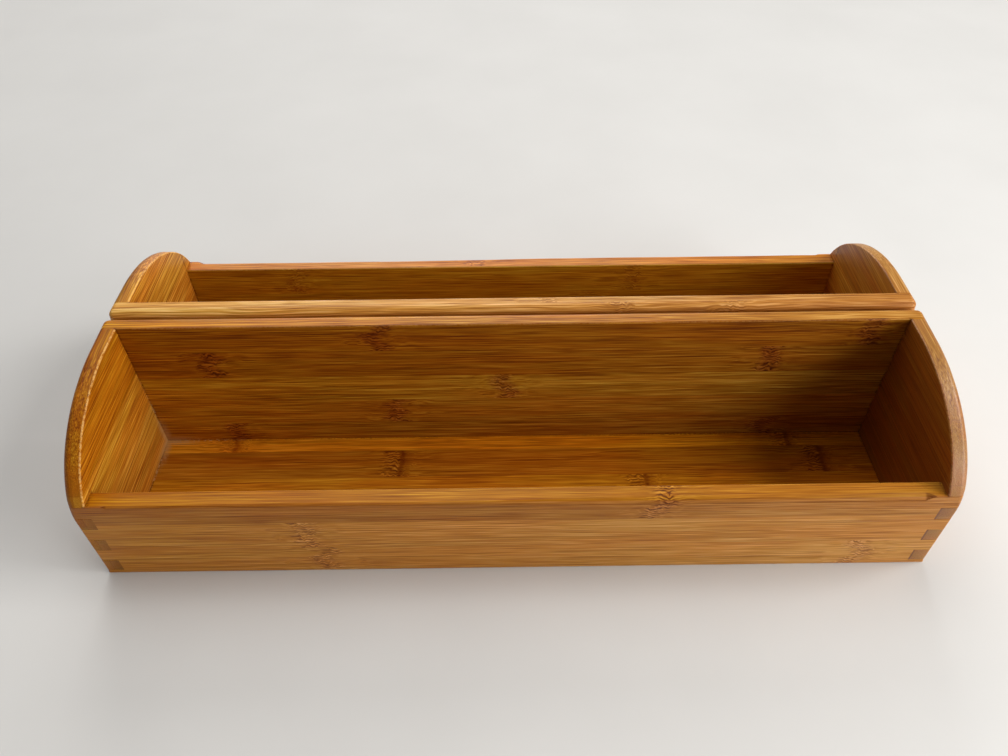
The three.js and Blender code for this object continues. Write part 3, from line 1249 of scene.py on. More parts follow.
    def build(self) -> bpy.types.Material:
        """Wires the layers together.

        Returns:
            The finished material.
        """
        graph, finish = self.graph, self.finish
        tone = self._tone()
        colour, worn_and_highlit = self._used_and_painted(self._marked(self._bare(tone)))
        gloss = graph.math("MULTIPLY_ADD", graph.minus(tone, 0.5), self.TONE_GLOSS, finish.roughness)
        shader = graph.add("ShaderNodeBsdfPrincipled", {
            "Base Color": colour,
            "Roughness": graph.math("MULTIPLY_ADD", worn_and_highlit, self.WORN_ROUGHNESS, gloss),
            "Normal": self._relief(),
            "Specular IOR Level": finish.sheen,
            "Coat Weight": self.COAT,
            "Coat Roughness": self.COAT_ROUGHNESS,
        })
        graph.add("ShaderNodeOutputMaterial", {"Surface": shader.outputs[0]})
        return self.material


# Boards


@dataclass(frozen=True)
class Workshop:
    """What every board is made with."""

    size: BinSizes
    outline: SideOutline
    cuts: CutRow


class Board:
    """A board of one bin, made in the bin's own frame."""

    NOTCH_REACH = 1.0
    SHARP_ANGLE = 28.0
    FLAT_FACE_WEIGHT = 90
    SQUARE = 0.99
    ARRIS_SLANT = (0.1, 0.995)

    def __init__(self, shop: Workshop, name: str, finish: bpy.types.Material) -> None:
        """Keeps what the board is made with.

        Args:
            shop: the sizes, the outline and the notch tree.
            name: the piece's name.
            finish: its material.
        """
        self.shop = shop
        self.size = shop.size
        self.name = name
        self.finish = finish

    def blank(self) -> bpy.types.Mesh:
        """The board's outer form before its notches are cut."""
        raise NotImplementedError

    def cut(self, piece: bpy.types.Object) -> None:
        """Cuts the board's joints."""
        raise NotImplementedError

    def is_arris(self, centre: Vector, normal: Vector) -> bool:
        """Whether a face belongs to an arris, lightened as rubbed wear and as a painted highlight."""
        return False

    def is_finger(self, centre: Vector, normal: Vector) -> bool:
        """Whether a face is the sawn end of a finger."""
        return False

    def painted_crease_shade(self, centre: Vector, normal: Vector) -> float:
        """How far a face takes painted shade in a crease, from 0 to 1."""
        return 0.0

    def slants(self, part: float) -> bool:
        """Whether a face with this part of its normal along an axis lies on an arris."""
        low, high = self.ARRIS_SLANT
        return low < part < high

    def groove(self, piece: bpy.types.Object) -> None:
        """Ploughs the groove that holds the floor's tongues.

        Args:
            piece: the board.
        """
        size = self.size
        reach = size.inner_half + size.groove
        width = size.inner_back - size.board + 2 * size.groove
        centre = (0.0, size.board - size.groove + width / 2, size.floor_top - size.floor_thickness / 2)
        grown = (2 * reach + size.glue_line, width + size.glue_line, size.floor_thickness + size.glue_line)
        self.shop.cuts.apply(piece, self.finish, centre, grown)

    def make(self, place: Matrix) -> bpy.types.Object:
        """Makes the finished piece.

        Args:
            place: from the bin's frame in millimetres to the tray's in metres.

        Returns:
            The piece, at the origin with its place in its mesh.
        """
        piece = Mold.to_object(self.blank(), self.name)
        self.cut(piece)
        Mold.settle(piece)
        self.soften(piece)
        piece.data.transform(place)
        piece.data.name = self.name
        return piece

    def soften(self, piece: bpy.types.Object) -> None:
        """Marks the faces that the finish treats apart, and shades the rounded ones smoothly.

        Args:
            piece: the board with its joints cut.
        """
        mesh = piece.data
        tests = {"arris": self.is_arris, "painted_crease_shade": self.painted_crease_shade, "finger": self.is_finger}
        for name, test in tests.items():
            marks = mesh.attributes.new(name, "FLOAT", "FACE")
            for face in mesh.polygons:
                marks.data[face.index].value = float(test(face.center, face.normal))
        for face in mesh.polygons:
            face.use_smooth = True
        mesh.set_sharp_from_angle(angle=math.radians(self.SHARP_ANGLE))
        weighted = piece.modifiers.new("weighted", "WEIGHTED_NORMAL")
        weighted.keep_sharp = True
        weighted.weight = self.FLAT_FACE_WEIGHT
        Mold.settle(piece)


class LongWall(Board):
    """A long wall: a band of the bin's outline drawn out along x, with fingers at both ends."""

    def band(self) -> Pair:
        """Where the wall lies between front and back."""
        raise NotImplementedError

    def fingers(self) -> int:
        """How many fingers of the end board run into this wall."""
        raise NotImplementedError

    def top(self) -> float:
        """The wall's height."""
        raise NotImplementedError

    def inner_face(self) -> tuple[float, int]:
        """The y of the wall's inner face, and which way y goes from it into the wall, 1 or -1."""
        raise NotImplementedError

    def blank(self) -> bpy.types.Mesh:
        """The band of the outline, rounded at both ends and kept out of the end boards.

        Returns:
            The closed mesh.
        """
        low, high = self.band()
        rims = self.shop.outline.between(low, high)
        turns = self.shop.outline.turns
        rings = []
        for side, order in ((-1, turns[::-1]), (1, turns)):
            for turn in order:
                ring = [rim.on_arris(side * self.size.half, -side, rim.outer, turn) for rim in rims]
                for point in ring:
                    point.y = min(high, max(low, point.y))
                rings.append(ring)
        return Mold.loft(rings, self.name)

    def cut(self, piece: bpy.types.Object) -> None:
        """Cuts the notches for the end boards' fingers, and the floor's groove.

        Args:
            piece: the wall.
        """
        size = self.size
        low, high = self.band()
        depth = size.board + self.NOTCH_REACH
        notch = (depth, high - low + 2 * self.NOTCH_REACH, size.finger + 2 * size.glue_line)
        step = (0.0, 0.0, 2 * size.finger)
        lowest = size.foot_finger + size.finger / 2
        for side in (-1, 1):
            first = (side * (size.inner_half + depth / 2), (low + high) / 2, lowest)
            self.shop.cuts.apply(piece, self.finish, first, notch, self.fingers(), step)
        self.groove(piece)

    def is_finger(self, centre: Vector, normal: Vector) -> bool:
        """The ends that show in the end boards' faces."""
        return abs(normal.x) > self.SQUARE and abs(centre.x) > self.size.inner_half

    def is_arris(self, centre: Vector, normal: Vector) -> bool:
        """The top's inner edge.

        Args:
            centre: the face's centre.
            normal: its direction.

        Returns:
            Whether it belongs to that edge.
        """
        face, inwards = self.inner_face()
        radius = self.size.inner_arris
        at_edge = inwards * (centre.y - face) < radius and centre.z > self.top() - radius
        return at_edge and self.slants(-inwards * normal.y)

    def round_inner_arris(self, piece: bpy.types.Object) -> None:
        """Takes a straight rounding cutter along the wall's top, on the side of the bin's inside.

        Args:
            piece: the wall.
        """
        face, inwards = self.inner_face()
        radius = self.size.inner_arris
        top = self.top()
        hollow = [(face + inwards * y, top - radius + z) for y, z in concave_arc(radius)]
        outside = [
            (face + inwards * radius, top + radius),
            (face - inwards * radius, top + radius),
            (face - inwards * radius, top - radius),
        ]
        run = self.size.inner_half
        rings = [[Vector((x, y, z)) for y, z in hollow + outside] for x in (-run, run)]
        self.subtract(piece, Mold.loft(rings, "arris_cutter"))

    def subtract(self, piece: bpy.types.Object, cutter: bpy.types.Mesh) -> None:
        """Cuts a mesh out of the wall.

        Args:
            piece: the wall.
            cutter: the mesh, which is used up.
        """
        cutter.materials.append(self.finish)
        tool = Mold.to_object(cutter, "cutter")
        cut = piece.modifiers.new("cut", "BOOLEAN")
        cut.object = tool
        cut.operation = "DIFFERENCE"
        cut.solver = "EXACT"
        Mold.settle(piece)
        Mold.drop(tool)


class LowWall(LongWall):
    """The low outer wall, with a hand-sanded rounded lip that stops short of the end boards."""

    ABOVE = 40.0
    CUTTER_SIDES = 64
    LIP_STEPS = 8
    RUN_STEPS = 96
    LEDGE = 0.10
    LIP_GROWTH = (-30.0, 80.0)
    LIP_WAVES = ((0.10, 9.0, 0.0), (0.12, 23.0, 1.0), (0.10, 57.0, 2.0))
    CALM_RUN = 15.0
    LEVEL = 0.97
    SIDEWAYS = 0.1
    # painted shade: a dark band at the lip's foot, and painted shadow in the cutter's scoops
    PAINTED_CREASE_SHARE = 0.22
    PAINTED_CREASE_SHADES = (0.95, 0.45)
    PAINTED_CREASE_WAVE = (0.2, 7.0)
    PAINTED_SCOOP_SHADOW = 0.85

    def band(self) -> Pair:
        """The front band of the outline."""
        return 0.0, self.size.board

    def fingers(self) -> int:
        """As many as fit under the lip."""
        return self.size.low_fingers

    def top(self) -> float:
        """The lip's height."""
        return self.size.low_wall

    def inner_face(self) -> tuple[float, int]:
        """The face towards the back."""
        return self.size.board, -1

    def cut(self, piece: bpy.types.Object) -> None:
        """Cuts the joints, takes the top off level and rounds its two long edges.

        Args:
            piece: the wall.
        """
        size = self.size
        super().cut(piece)
        level = (0.0, size.board / 2, size.low_wall + self.ABOVE / 2)
        over = (size.length + 2 * self.NOTCH_REACH, size.board + 2 * self.NOTCH_REACH, self.ABOVE)
        self.shop.cuts.apply(piece, self.finish, level, over)
        Mold.settle(piece)
        self.round_inner_arris(piece)
        self.subtract(piece, self.lip_sweep())
        for side in (-1, 1):
            self.subtract(piece, self.lip_bit(side))

    def lip_run(self) -> float:
        """How far the cutter that rounds the lip goes from the middle."""
        return self.size.inner_half - self.size.lip_stop

    def lip_radius(self, x: float) -> float:
        """The rounding at a place along the lip, which hand sanding has left uneven.

        Args:
            x: the place along the bin.

        Returns:
            The radius of the rounding there.
        """
        slight, full = self.size.lip_round
        start, end = self.LIP_GROWTH
        share = min(1.0, max(0.0, (x - start) / (end - start)))
        share = share * share * (3 - 2 * share)
        wave = sum(height * math.sin(x / length + phase) for height, length, phase in self.LIP_WAVES)
        calm = min(1.0, (self.lip_run() - abs(x)) / self.CALM_RUN)
        return slight + (full - slight) * share + wave * calm

    def lip_profile(self, radius: float) -> list[Pair]:
        """The cutter's hollow and its top: out from the wall's face, up from the lip's foot."""
        hollow = [(y + self.LEDGE, z) for y, z in concave_arc(radius, self.LIP_STEPS)]
        return [*hollow, (radius + self.LEDGE, radius + self.NOTCH_REACH)]

    def lip_sweep(self) -> bpy.types.Mesh:
        """The space that the cutter sweeps along the lip.

        Returns:
            The closed mesh.
        """
        run = self.lip_run()
        rings = []
        for step in range(self.RUN_STEPS + 1):
            x = run * (2 * step / self.RUN_STEPS - 1)
            radius = self.lip_radius(x)
            section = [(-self.NOTCH_REACH, 0.0), *self.lip_profile(radius),
                       (-self.NOTCH_REACH, radius + self.NOTCH_REACH)]
            foot = self.size.low_wall - radius
            rings.append([Vector((x, y, foot + z)) for y, z in section])
        return Mold.loft(rings, "lip_sweep")

    def lip_bit(self, side: int) -> bpy.types.Mesh:
        """The cutter itself, where it was lifted off at one end of its run.

        Args:
            side: 1 for the +x end, -1 for the other.

        Returns:
            The closed mesh.
        """
        size = self.size
        middle = side * self.lip_run()
        radius = self.lip_radius(middle)
        foot = size.low_wall - radius
        turns = [2 * math.pi * step / self.CUTTER_SIDES for step in range(self.CUTTER_SIDES)]
        rings = []
        for out, up in self.lip_profile(radius):
            reach = size.cutter_radius + out
            rings.append([Vector((
                middle + reach * math.cos(turn),
                reach * math.sin(turn) - size.cutter_radius,
                foot + up,
            )) for turn in turns])
        return Mold.loft(rings, "lip_bit")

    def painted_crease_shade(self, centre: Vector, normal: Vector) -> float:
        """Painted shade at the lip's foot, darker to the left, and in the scoops where the cutter was
        lifted.

        Args:
            centre: the face's centre.
            normal: its direction.

        Returns:
            How far the painted shade darkens it, from 0 to 1.
        """
        size = self.size
        run = self.lip_run()
        radius = self.lip_radius(max(-run, min(run, centre.x)))
        height = centre.z - size.low_wall + radius
        over = abs(centre.x) - run
        swept = self.LEDGE / 2 < centre.y < radius + self.LEDGE
        if height < 0 or not swept or over > size.cutter_radius + radius or normal.z > self.LEVEL:
            return 0.0
        if abs(normal.x) < self.SIDEWAYS and normal.y > -self.SIDEWAYS:
            return 0.0
        if over > 0:
            return self.PAINTED_SCOOP_SHADOW * min(1.0, over)
        if height > self.PAINTED_CREASE_SHARE * radius:
            return 0.0
        left, right = self.PAINTED_CREASE_SHADES
        swing, length = self.PAINTED_CREASE_WAVE
        shade = left + (right - left) * (centre.x + size.half) / size.length
        return shade * (1 - swing + swing * math.sin(centre.x / length))


class HighWall(LongWall):
    """The high wall at the seam, rounded towards the seam and worn at its inner top edge."""

    def band(self) -> Pair:
        """The back band of the outline."""
        return self.size.inner_back, self.size.depth

    def fingers(self) -> int:
        """As many as fit under the top."""
        return self.size.high_fingers

    def top(self) -> float:
        """The bin's full height."""
        return self.size.high_wall

    def inner_face(self) -> tuple[float, int]:
        """The face towards the front."""
        return self.size.inner_back, 1

    def cut(self, piece: bpy.types.Object) -> None:
        """Cuts the joints and rounds the inner top edge.

        Args:
            piece: the wall.
        """
        super().cut(piece)
        Mold.settle(piece)
        self.round_inner_arris(piece)


class EndBoard(Board):
    """An end board with its curved top edge, at one end of the bin."""

    def __init__(self, shop: Workshop, name: str, finish: bpy.types.Material, side: int) -> None:
        """Keeps what the board is made with.

        Args:
            shop: the sizes, the outline and the notch tree.
            name: the piece's name.
            finish: its material.
            side: 1 at the bin's +x end, -1 at the other.
        """
        super().__init__(shop, name, finish)
        self.side = side

    def blank(self) -> bpy.types.Mesh:
        """The whole outline, rounded at its outer arris and softened at its inner one.

        Returns:
            The closed mesh.
        """
        outline = self.shop.outline
        outside = self.side * self.size.half
        inside = self.side * self.size.inner_half
        rings = [[rim.on_arris(outside, -self.side, rim.outer, turn) for rim in outline.rims]
                 for turn in outline.turns[::-1]]
        rings += [[rim.on_arris(inside, self.side, rim.inner, turn) for rim in outline.rims]
                  for turn in outline.turns]
        return Mold.loft(rings, self.name)

    def cut(self, piece: bpy.types.Object) -> None:
        """Cuts the notches for both long walls' fingers, and the floor's groove.

        Args:
            piece: the board.
        """
        size = self.size
        depth = size.board + self.NOTCH_REACH
        middle_x = self.side * (size.inner_half + size.board / 2)
        width = size.board + 2 * self.NOTCH_REACH
        notch = (width, depth, size.finger + 2 * size.glue_line)
        step = (0.0, 0.0, 2 * size.finger)
        lowest = size.foot_finger - size.finger / 2
        front = (middle_x, size.board - depth / 2, lowest)
        back = (middle_x, size.inner_back + depth / 2, lowest)
        self.shop.cuts.apply(piece, self.finish, front, notch, size.low_fingers + 1, step)
        self.shop.cuts.apply(piece, self.finish, back, notch, size.high_fingers, step)
        foot = size.foot_finger + (2 * size.high_fingers - 1) * size.finger - size.glue_line
        top = size.high_wall + self.NOTCH_REACH
        crest = (middle_x, back[1], (foot + top) / 2)
        self.shop.cuts.apply(piece, self.finish, crest, (width, depth, top - foot))
        self.groove(piece)

    def is_arris(self, centre: Vector, normal: Vector) -> bool:
        """The curve's inner edge."""
        inner = abs(centre.x) < self.size.inner_half + self.size.inner_arris
        return inner and self.slants(abs(normal.x))

    def is_finger(self, centre: Vector, normal: Vector) -> bool:
        """The ends that show in the long walls' faces."""
        return abs(normal.y) > self.SQUARE and not self.size.board < centre.y < self.size.inner_back


class FloorPanel(Board):
    """The floor panel, whose tongues lie in the boards' grooves."""

    STRIP = 19.0
    STRIP_STEPS = 6
    CROWN = 0.06

    def blank(self) -> bpy.types.Mesh:
        """A panel of strips that stand a hair proud of their seams.

        Returns:
            The closed mesh.
        """
        size = self.size
        reach = size.inner_half + size.groove
        front = size.board - size.groove
        back = size.inner_back + size.groove
        below = size.floor_top - size.floor_thickness
        top = []
        count = round((back - front) / self.STRIP) * self.STRIP_STEPS
        for index in range(count + 1):
            y = front + (back - front) * index / count
            bulge = self.CROWN * abs(math.sin(math.pi * index / self.STRIP_STEPS))
            top.append((y, size.floor_top - self.CROWN + bulge))
        section = [(front, below), *top, (back, below)]
        rings = [[Vector((x, y, z)) for y, z in section] for x in (-reach, reach)]
        return Mold.loft(rings, self.name)

    def cut(self, piece: bpy.types.Object) -> None:
        """The panel has no joints of its own to cut, so it only takes its finish."""
        piece.data.materials.append(self.finish)


# Bins


@dataclass(frozen=True)
class BinFinishes:
    """The finishes of one bin's five boards."""

    low_wall: BambooFinish
    high_wall: BambooFinish
    left_end: BambooFinish
    right_end: BambooFinish
    floor: BambooFinish


class Bin:
    """One bin: five boards that ride on one body."""

    SLOTS = {"low_wall": "wall_bamboo", "high_wall": "wall_bamboo", "floor": "floor_bamboo"}

    def __init__(self, body: str, finishes: BinFinishes, turned: bool) -> None:
        """Keeps the bin's settings.

        Args:
            body: the CAD body that its boards ride on.
            finishes: the finishes of its boards.
            turned: whether it is turned half round, as the rear bin is.
        """
        self.body = body
        self.finishes = finishes
        self.turned = turned

    def place(self, size: BinSizes) -> Matrix:
        """Where the bin stands.

        Args:
            size: the bin's sizes.

        Returns:
            From the bin's frame in millimetres to the tray's in metres.
        """
        shift = Matrix.Translation((0, -size.to_low_face, 0))
        turn = Matrix.Rotation(math.pi, 4, "Z") if self.turned else Matrix.Identity(4)
        return Matrix.Scale(MM, 4) @ turn @ shift

    def boards(self, shop: Workshop, patterns: Patterns) -> dict[str, Board]:
        """The five boards, with their materials built.

        Args:
            shop: the sizes, the outline and the notch tree.
            patterns: the shared shader groups.

        Returns:
            The boards by kind, in the order in which they are made.
        """
        left, right = (1, -1) if self.turned else (-1, 1)
        short = self.body.replace("_bin", "")
        finish = {field.name: BambooMaterial(getattr(self.finishes, field.name), patterns).build()
                  for field in fields(self.finishes)}
        return {
            "low_wall": LowWall(shop, f"{short}_low_wall_board", finish["low_wall"]),
            "high_wall": HighWall(shop, f"{short}_high_wall_board", finish["high_wall"]),
            "left_end": EndBoard(shop, f"{short}_left_end_board", finish["left_end"], left),
            "right_end": EndBoard(shop, f"{short}_right_end_board", finish["right_end"], right),
            "floor": FloorPanel(shop, f"{short}_floor_panel", finish["floor"]),
        }

    def build(self, shop: Workshop, patterns: Patterns) -> None:
        """Args:
            shop: the sizes, the outline and the notch tree.
            patterns: the shared shader groups.
        """
        for kind, board in self.boards(shop, patterns).items():
            piece = board.make(self.place(shop.size))
            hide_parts(f"{self.body}_{kind}")
            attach(piece, self.body)
            log.info("%s: %d faces", piece.name, len(piece.data.polygons))


@dataclass(frozen=True)
class StripStock:
    """The widths of the strips that the ends and the floors are pressed from, and where they start."""

    end_strip: float = 20.7
    end_first_seam: float = -0.1
    floor_strip: float = 18.9
    floor_ply_below: float = 2.0


STOCK = StripStock()


def wall_finish(name: str, seed: float, strip_width: float, first_seam: float, face_y: float,
                plies: Plies, **changes: object) -> BambooFinish:
    """The finish of a long wall.

    Args:
        name: the material's name.
        seed: what makes its grain differ from the other boards'.
        strip_width: the width of a strip.
        first_seam: the height of the lowest strip's lower edge.
        face_y: the y of the wall's face towards the front.
        plies: its strips.
        changes: other fields of the finish.

    Returns:
        The finish.
    """
    return BambooFinish(name, Grain.WALL, strip_width, (0.0, first_seam, face_y), plies, seed, **changes)


def end_finish(name: str, seed: float, face_x: float, plies: Plies, **changes: object) -> BambooFinish:
    """The finish of an end board.

    Args:
        name: the material's name.
        seed: what makes its grain differ from the other boards'.
        face_x: the x of the board's face towards the left.
        plies: its strips.
        changes: other fields of the finish.

    Returns:
        The finish.
    """
    origin = (0.0, STOCK.end_first_seam, face_x)
    return BambooFinish(name, Grain.END, STOCK.end_strip, origin, plies, seed, wander=0.25, **changes)


def floor_finish(name: str, seed: float, first_seam: float, top: float, plies: Plies,
                 **changes: object) -> BambooFinish:
    """The finish of a floor panel, whose knuckles end in rings.

    Args:
        name: the material's name.
        seed: what makes its grain differ from the other boards'.
        first_seam: the y of the first strip's front edge.
        top: the height of the floor's top.
        plies: its strips.
        changes: other fields of the finish.

    Returns:
        The finish.
    """
    origin = (0.0, first_seam, top - STOCK.floor_ply_below)
    return BambooFinish(name, Grain.FLOOR, STOCK.floor_strip, origin, plies, seed,
                        ply_thickness=0.5, ring=1.0, sheen=0.06, **changes)


def front_finishes(size: BinSizes) -> BinFinishes:
    """The front bin's finishes, strip by strip as they were laid up.

    Args:
        size: the bin's sizes.

    Returns:
        The finishes.
    """
    low_face = -size.to_low_face
    high_face = -size.gap / 2 - size.board
    smear = (-size.inner_half, high_face, size.floor_top)
    plain = Strip()
    return BinFinishes(
        low_wall=wall_finish(
            "front_low_wall_bamboo", seed=3.0, strip_width=21.4, first_seam=0.0, face_y=low_face,
            bruise=0.15, contrast=0.68, ply_thickness=0.9, wander=0.5, drift=0.6, cool=0.75,
            plies=(
                # pale, greyish outer ply, partly its own colour and partly a painted reflection of the pale
                # table
                (
                    Strip(1.34, red=-0.42, knuckles=(-96, 172), pale=1.0, slope=0.08, bold=0.7),
                    Strip(1.30, red=-0.37, knuckles=(-104,), pale=1.0, slope=0.08, bold=0.8),
                    Strip(0.97, red=0.05, knuckles=(68,), pale=0.8, slope=0.14, bold=1.3),
                ),
                (
                    Strip(1.0, knuckles=(30,)),
                    Strip(1.1),
                    Strip(1.02, red=0.2, knuckles=(69,), pale=-0.45, slope=-0.14, bold=1.2, cool=1.05),
                ),
            ),
        ),
        high_wall=wall_finish(
            "front_high_wall_bamboo", seed=11.0, strip_width=18.5, first_seam=-16.0, face_y=high_face,
            contrast=1.2, wander=0.6, drift=0.8, ply_thickness=0.9, cool=0.9, smear=smear,
            plies=(
                (
                    plain,
                    Strip(0.91, red=0.1, knuckles=(-160, 142), pale=-0.3, slope=-0.12),
                    Strip(0.97, red=0.1, knuckles=(-66,), pale=-0.3, slope=-0.1),
                    Strip(1.02, red=-0.2, knuckles=(-5,), pale=-0.3, slope=-0.12),
                    Strip(0.73, red=0.7, knuckles=(-159, 136), pale=-0.4, bold=1.2),
                    Strip(0.66, red=0.9, knuckles=(-70, 186), pale=-0.5),
                ),
                (
                    plain,
                    Strip(1.0, red=0.1, knuckles=(40,)),
                    Strip(1.05, knuckles=(-120, 150)),
                    Strip(0.95, red=0.2, knuckles=(90,)),
                    Strip(1.0, knuckles=(-30,)),
                    Strip(1.16, pale=0.05, slope=-0.2, cool=0.6),
                ),
            ),
        ),
        left_end=end_finish(
            "front_left_end_bamboo", seed=23.0, face_x=-size.half,
            contrast=1.08, wear=0.6, cut=(0.85, 0.85), heart=(0.0, 8.5), smear=smear,
            plies=(
                (
                    Strip(1.05, pale=-0.3),
                    Strip(1.12, red=-0.1, pale=-0.3),
                    Strip(0.92, red=0.4, pale=-0.4),
                    Strip(0.79, red=0.9, pale=-0.5),
                    Strip(0.86, red=0.7, pale=-0.5),
                ),
                (
                    Strip(1.1),
                    Strip(1.24, red=-0.2),
                    Strip(1.22, red=-0.1, pale=-0.2),
                    Strip(0.94, red=0.5, pale=-0.6),
                    Strip(0.94, red=0.5, pale=-0.6),
                ),
            ),
        ),
        right_end=end_finish(
            "front_right_end_bamboo", seed=31.0, face_x=size.inner_half,
            contrast=0.6, wear=0.2, sheen=0.52, cut=(0.66, 0.66), heart=(9.0, 1.0), ply_thickness=0.8,
            plies=(
                # inner-face ply darkened as painted shade, for the face turned away from the window
                (
                    Strip(0.56, red=1.1),
                    Strip(0.54, red=1.3),
                    Strip(0.60, red=1.1),
                    Strip(0.62, red=1.1),
                    Strip(0.66, red=1.0),
                ),
                # paler outer ply, partly its own colour and partly a painted sheen on the rounded rim
                (
                    Strip(1.08, red=-0.2, pale=0.7),
                    Strip(1.05, red=-0.25, pale=0.7),
                    Strip(0.88, red=-0.2, pale=0.9),
                    Strip(0.83, red=-0.15, pale=0.8),
                    Strip(0.87, red=-0.2, pale=0.8),
                ),
            ),
        ),
        floor=floor_finish(
            "front_floor_bamboo", seed=43.0, first_seam=low_face - 21.4, top=size.floor_top,
            contrast=0.9, bruise=0.2, cool=-0.8, smear=smear,
            plies=(
                (plain,) * 6,
                (
                    plain,
                    plain,
                    Strip(1.0, pale=-0.5),
                    Strip(1.04, red=0.6, knuckles=(72,), pale=-0.6, slope=-0.05),
                    Strip(0.80, red=0.95, knuckles=(-65, 173), pale=-0.5),
                    Strip(1.40, red=0.5, knuckles=(-161, 157), pale=-0.6, slope=-0.14, bold=0.5),
                ),
            ),
        ),
    )


def rear_finishes(size: BinSizes) -> BinFinishes:
    """The rear bin's finishes.

    Args:
        size: the bin's sizes.

    Returns:
        The finishes.
    """
    low_inner = size.to_low_face - size.board
    high_face = size.gap / 2
    plain = Strip()
    return BinFinishes(
        low_wall=wall_finish(
            "rear_low_wall_bamboo", seed=53.0, strip_width=19.5, first_seam=-1.5, face_y=low_inner,
            bruise=0.25, contrast=0.85, drift=0.7, ply_thickness=1.5,
            plies=(
                (
                    Strip(1.0, red=-0.1),
                    Strip(1.13, red=-1.0, knuckles=(51,), pale=-0.5, bold=0.45),
                    Strip(1.16, red=-1.0, knuckles=(-135, 75), pale=-0.5, bold=0.45),
                ),
                (
                    Strip(1.25, red=0.1, knuckles=(-60,)),
                    Strip(1.15, red=0.2, knuckles=(120,)),
                    Strip(1.54, red=0.1, knuckles=(-20,), pale=0.1),
                ),
            ),
        ),
        high_wall=wall_finish(
            "rear_high_wall_bamboo", seed=61.0, strip_width=18.5, first_seam=-12.0, face_y=high_face,
            bruise=0.0, drift=0.5,
            plies=(
                (
                    plain,
                    Strip(1.0, red=0.1, knuckles=(-40,)),
                    Strip(0.95, red=0.2),
                    Strip(1.05, knuckles=(110,)),
                    Strip(1.1, red=0.1),
                    Strip(1.54, red=-0.85, knuckles=(115, 55), pale=1.25, slope=-0.4, bold=0.5),
                ),
                (
                    plain,
                    Strip(0.95, red=0.1, knuckles=(60,)),
                    Strip(1.05),
                    Strip(1.0, red=0.1, knuckles=(-90,)),
                    Strip(0.95),
                    Strip(1.54, red=-0.85, knuckles=(20,), pale=1.25, slope=-0.4, bold=0.5),
                ),
            ),
        ),
        left_end=end_finish(
            "rear_left_end_bamboo", seed=71.0, face_x=-size.half,
            contrast=1.1, wear=0.5, cut=(0.2, 0.47),
            plies=(
                (plain, plain, Strip(1.1), plain, Strip(0.9)),
                (Strip(1.1), Strip(1.2), Strip(1.3), Strip(1.4, red=-0.2), Strip(1.38, red=-0.1)),
            ),
        ),
        right_end=end_finish(
            "rear_right_end_bamboo", seed=83.0, face_x=size.inner_half,
            contrast=0.8, wear=0.05, sheen=0.3, cut=(0.58, 0.18), ply_thickness=1.2,
            plies=(
                (
                    Strip(0.84, red=0.2),
                    Strip(0.8, red=0.4),
                    Strip(1.1),
                    Strip(0.92, red=0.2),
                    Strip(1.06),
                ),
                (
                    plain,
                    Strip(1.1),
                    Strip(1.1, red=-0.3),
                    Strip(1.1, red=-0.4, pale=1.2),
                    Strip(1.1, red=-0.4, pale=1.2),
                ),
            ),
        ),
        floor=floor_finish(
            "rear_floor_bamboo", seed=97.0, first_seam=-STOCK.floor_strip, top=size.floor_top,
            plies=(
                (plain,) * 6,
                (
                    plain,
                    Strip(1.0, red=0.1, knuckles=(30,)),
                    Strip(1.05),
                    Strip(0.95, red=0.1, knuckles=(-110,)),
                    Strip(1.0, knuckles=(140,)),
                    Strip(1.05),
                ),
            ),
        ),
    )


# Studio


@dataclass(frozen=True)
class SoftBox:
    """A square light that faces the tray: its bearing from +x, height angle, distance, side and power."""

    name: str
    bearing: float
    height: float
    distance: float
    side: float
    power: float
    colour: Colour = (1.0, 0.99, 0.975)

    def build(self) -> None:
        """Adds the light to the scene."""
        data = bpy.data.lights.new(self.name, "AREA")
        data.shape = "SQUARE"
        data.size = self.side
        data.energy = self.power
        data.color = self.colour
        lamp = bpy.data.objects.new(self.name, data)
        bearing, height = math.radians(self.bearing), math.radians(self.height)
        outward = Vector((math.cos(bearing) * math.cos(height), math.sin(bearing) * math.cos(height),
                          math.sin(height)))
        lamp.location = outward * self.distance
        lamp.rotation_euler = (-outward).to_track_quat("-Z", "Y").to_euler()
        bpy.context.scene.collection.objects.link(lamp)


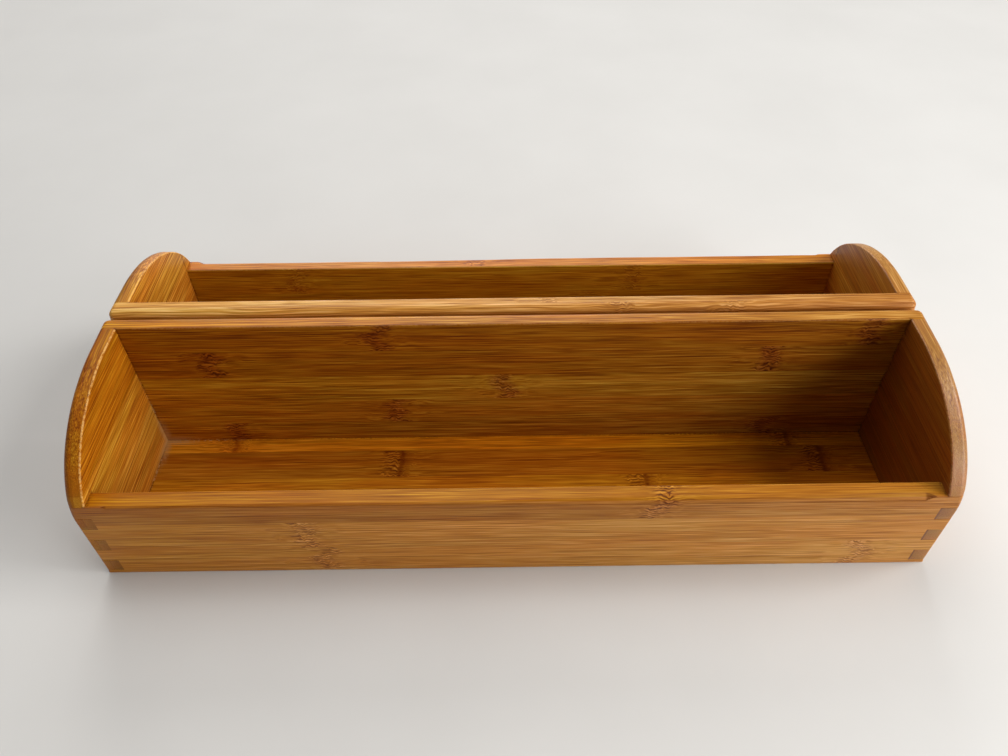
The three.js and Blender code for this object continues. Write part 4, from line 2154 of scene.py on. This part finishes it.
@dataclass(frozen=True)
class Studio:
    """A pale table, soft window light from the right, and the camera."""

    camera_place: Triple = (-5.75, -312.25, 362.65)
    tilt_down: float = 45.53
    turn_right: float = 0.130
    roll: float = 0.634
    lens: float = 28.516
    sensor: float = 36.0
    nearest: float = 0.01
    table_half: float = 3.0
    table_clouds: Weave = Weave(9.0, 9.0, detail=4.0)
    table_colours: tuple[tuple[float, Colour], ...] = ((0.3, (0.67, 0.66, 0.64)), (0.7, (0.70, 0.69, 0.67)))
    table_roughness: float = 0.75
    table_sheen: float = 0.15
    air_colour: Colour = (1.0, 0.99, 0.97)
    air_strength: float = 0.13
    lights: tuple[SoftBox, ...] = (
        SoftBox("window", bearing=0.0, height=41.0, distance=2.2, side=0.95, power=28.0),
        SoftBox("side_fill", bearing=-36.0, height=19.0, distance=1.0, side=0.50, power=5.15),
        SoftBox("back_wall", bearing=95.0, height=24.0, distance=6.0, side=4.1, power=225.0),
        SoftBox("ceiling", bearing=115.0, height=66.0, distance=2.0, side=1.4, power=13.0),
    )

    def build(self) -> None:
        """Builds the studio."""
        self._camera()
        self._table()
        self._air()
        for light in self.lights:
            light.build()
        bpy.context.scene.view_settings.view_transform = "Standard"

    def _camera(self) -> None:
        """Sets the camera at the photograph's viewing angle."""
        data = bpy.data.cameras.new("camera")
        data.sensor_width = self.sensor
        data.lens = self.lens
        data.clip_start = self.nearest
        camera = bpy.data.objects.new("camera", data)
        aim = (Matrix.Rotation(math.radians(-self.turn_right), 4, "Z")
               @ Matrix.Rotation(math.radians(90 - self.tilt_down), 4, "X")
               @ Matrix.Rotation(math.radians(-self.roll), 4, "Z"))
        camera.matrix_world = Matrix.Translation(Vector(self.camera_place) * MM) @ aim
        bpy.context.scene.collection.objects.link(camera)
        bpy.context.scene.camera = camera

    def _table(self) -> None:
        """Lays the pale table."""
        reach = self.table_half
        mesh = bpy.data.meshes.new("table")
        corners = [(-reach, -reach, 0), (reach, -reach, 0), (reach, reach, 0), (-reach, reach, 0)]
        mesh.from_pydata(corners, [], [(0, 1, 2, 3)])
        table = Mold.to_object(mesh, "table")
        material = bpy.data.materials.new("pale_table")
        material.use_nodes = True
        graph = Graph(material.node_tree)
        point = graph.add("ShaderNodeTexCoord").outputs["Object"]
        cloud = graph.noise(point, self.table_clouds)
        shader = material.node_tree.nodes["Principled BSDF"].inputs
        graph.feed(shader["Base Color"], graph.ramp(cloud, self.table_colours))
        graph.feed(shader["Roughness"], self.table_roughness)
        graph.feed(shader["Specular IOR Level"], self.table_sheen)
        mesh.materials.append(material)

    def _air(self) -> None:
        """Fills the room with soft light."""
        world = bpy.data.worlds.new("air")
        world.use_nodes = True
        bpy.context.scene.world = world
        back = Graph(world.node_tree)
        inputs = world.node_tree.nodes["Background"].inputs
        back.feed(inputs["Color"], self.air_colour)
        back.feed(inputs["Strength"], self.air_strength)


def main() -> None:
    """Builds the studio and both bins."""
    logging.basicConfig(level=logging.INFO, format="%(name)s: %(message)s")
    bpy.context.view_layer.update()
    size = BinSizes.from_frame()
    Studio().build()
    shop = Workshop(size, SideOutline(size), CutRow())
    patterns = Patterns(size)
    Bin("front_bin", front_finishes(size), turned=False).build(shop, patterns)
    Bin("rear_bin", rear_finishes(size), turned=True).build(shop, patterns)


if __name__ == "__main__":
    main()
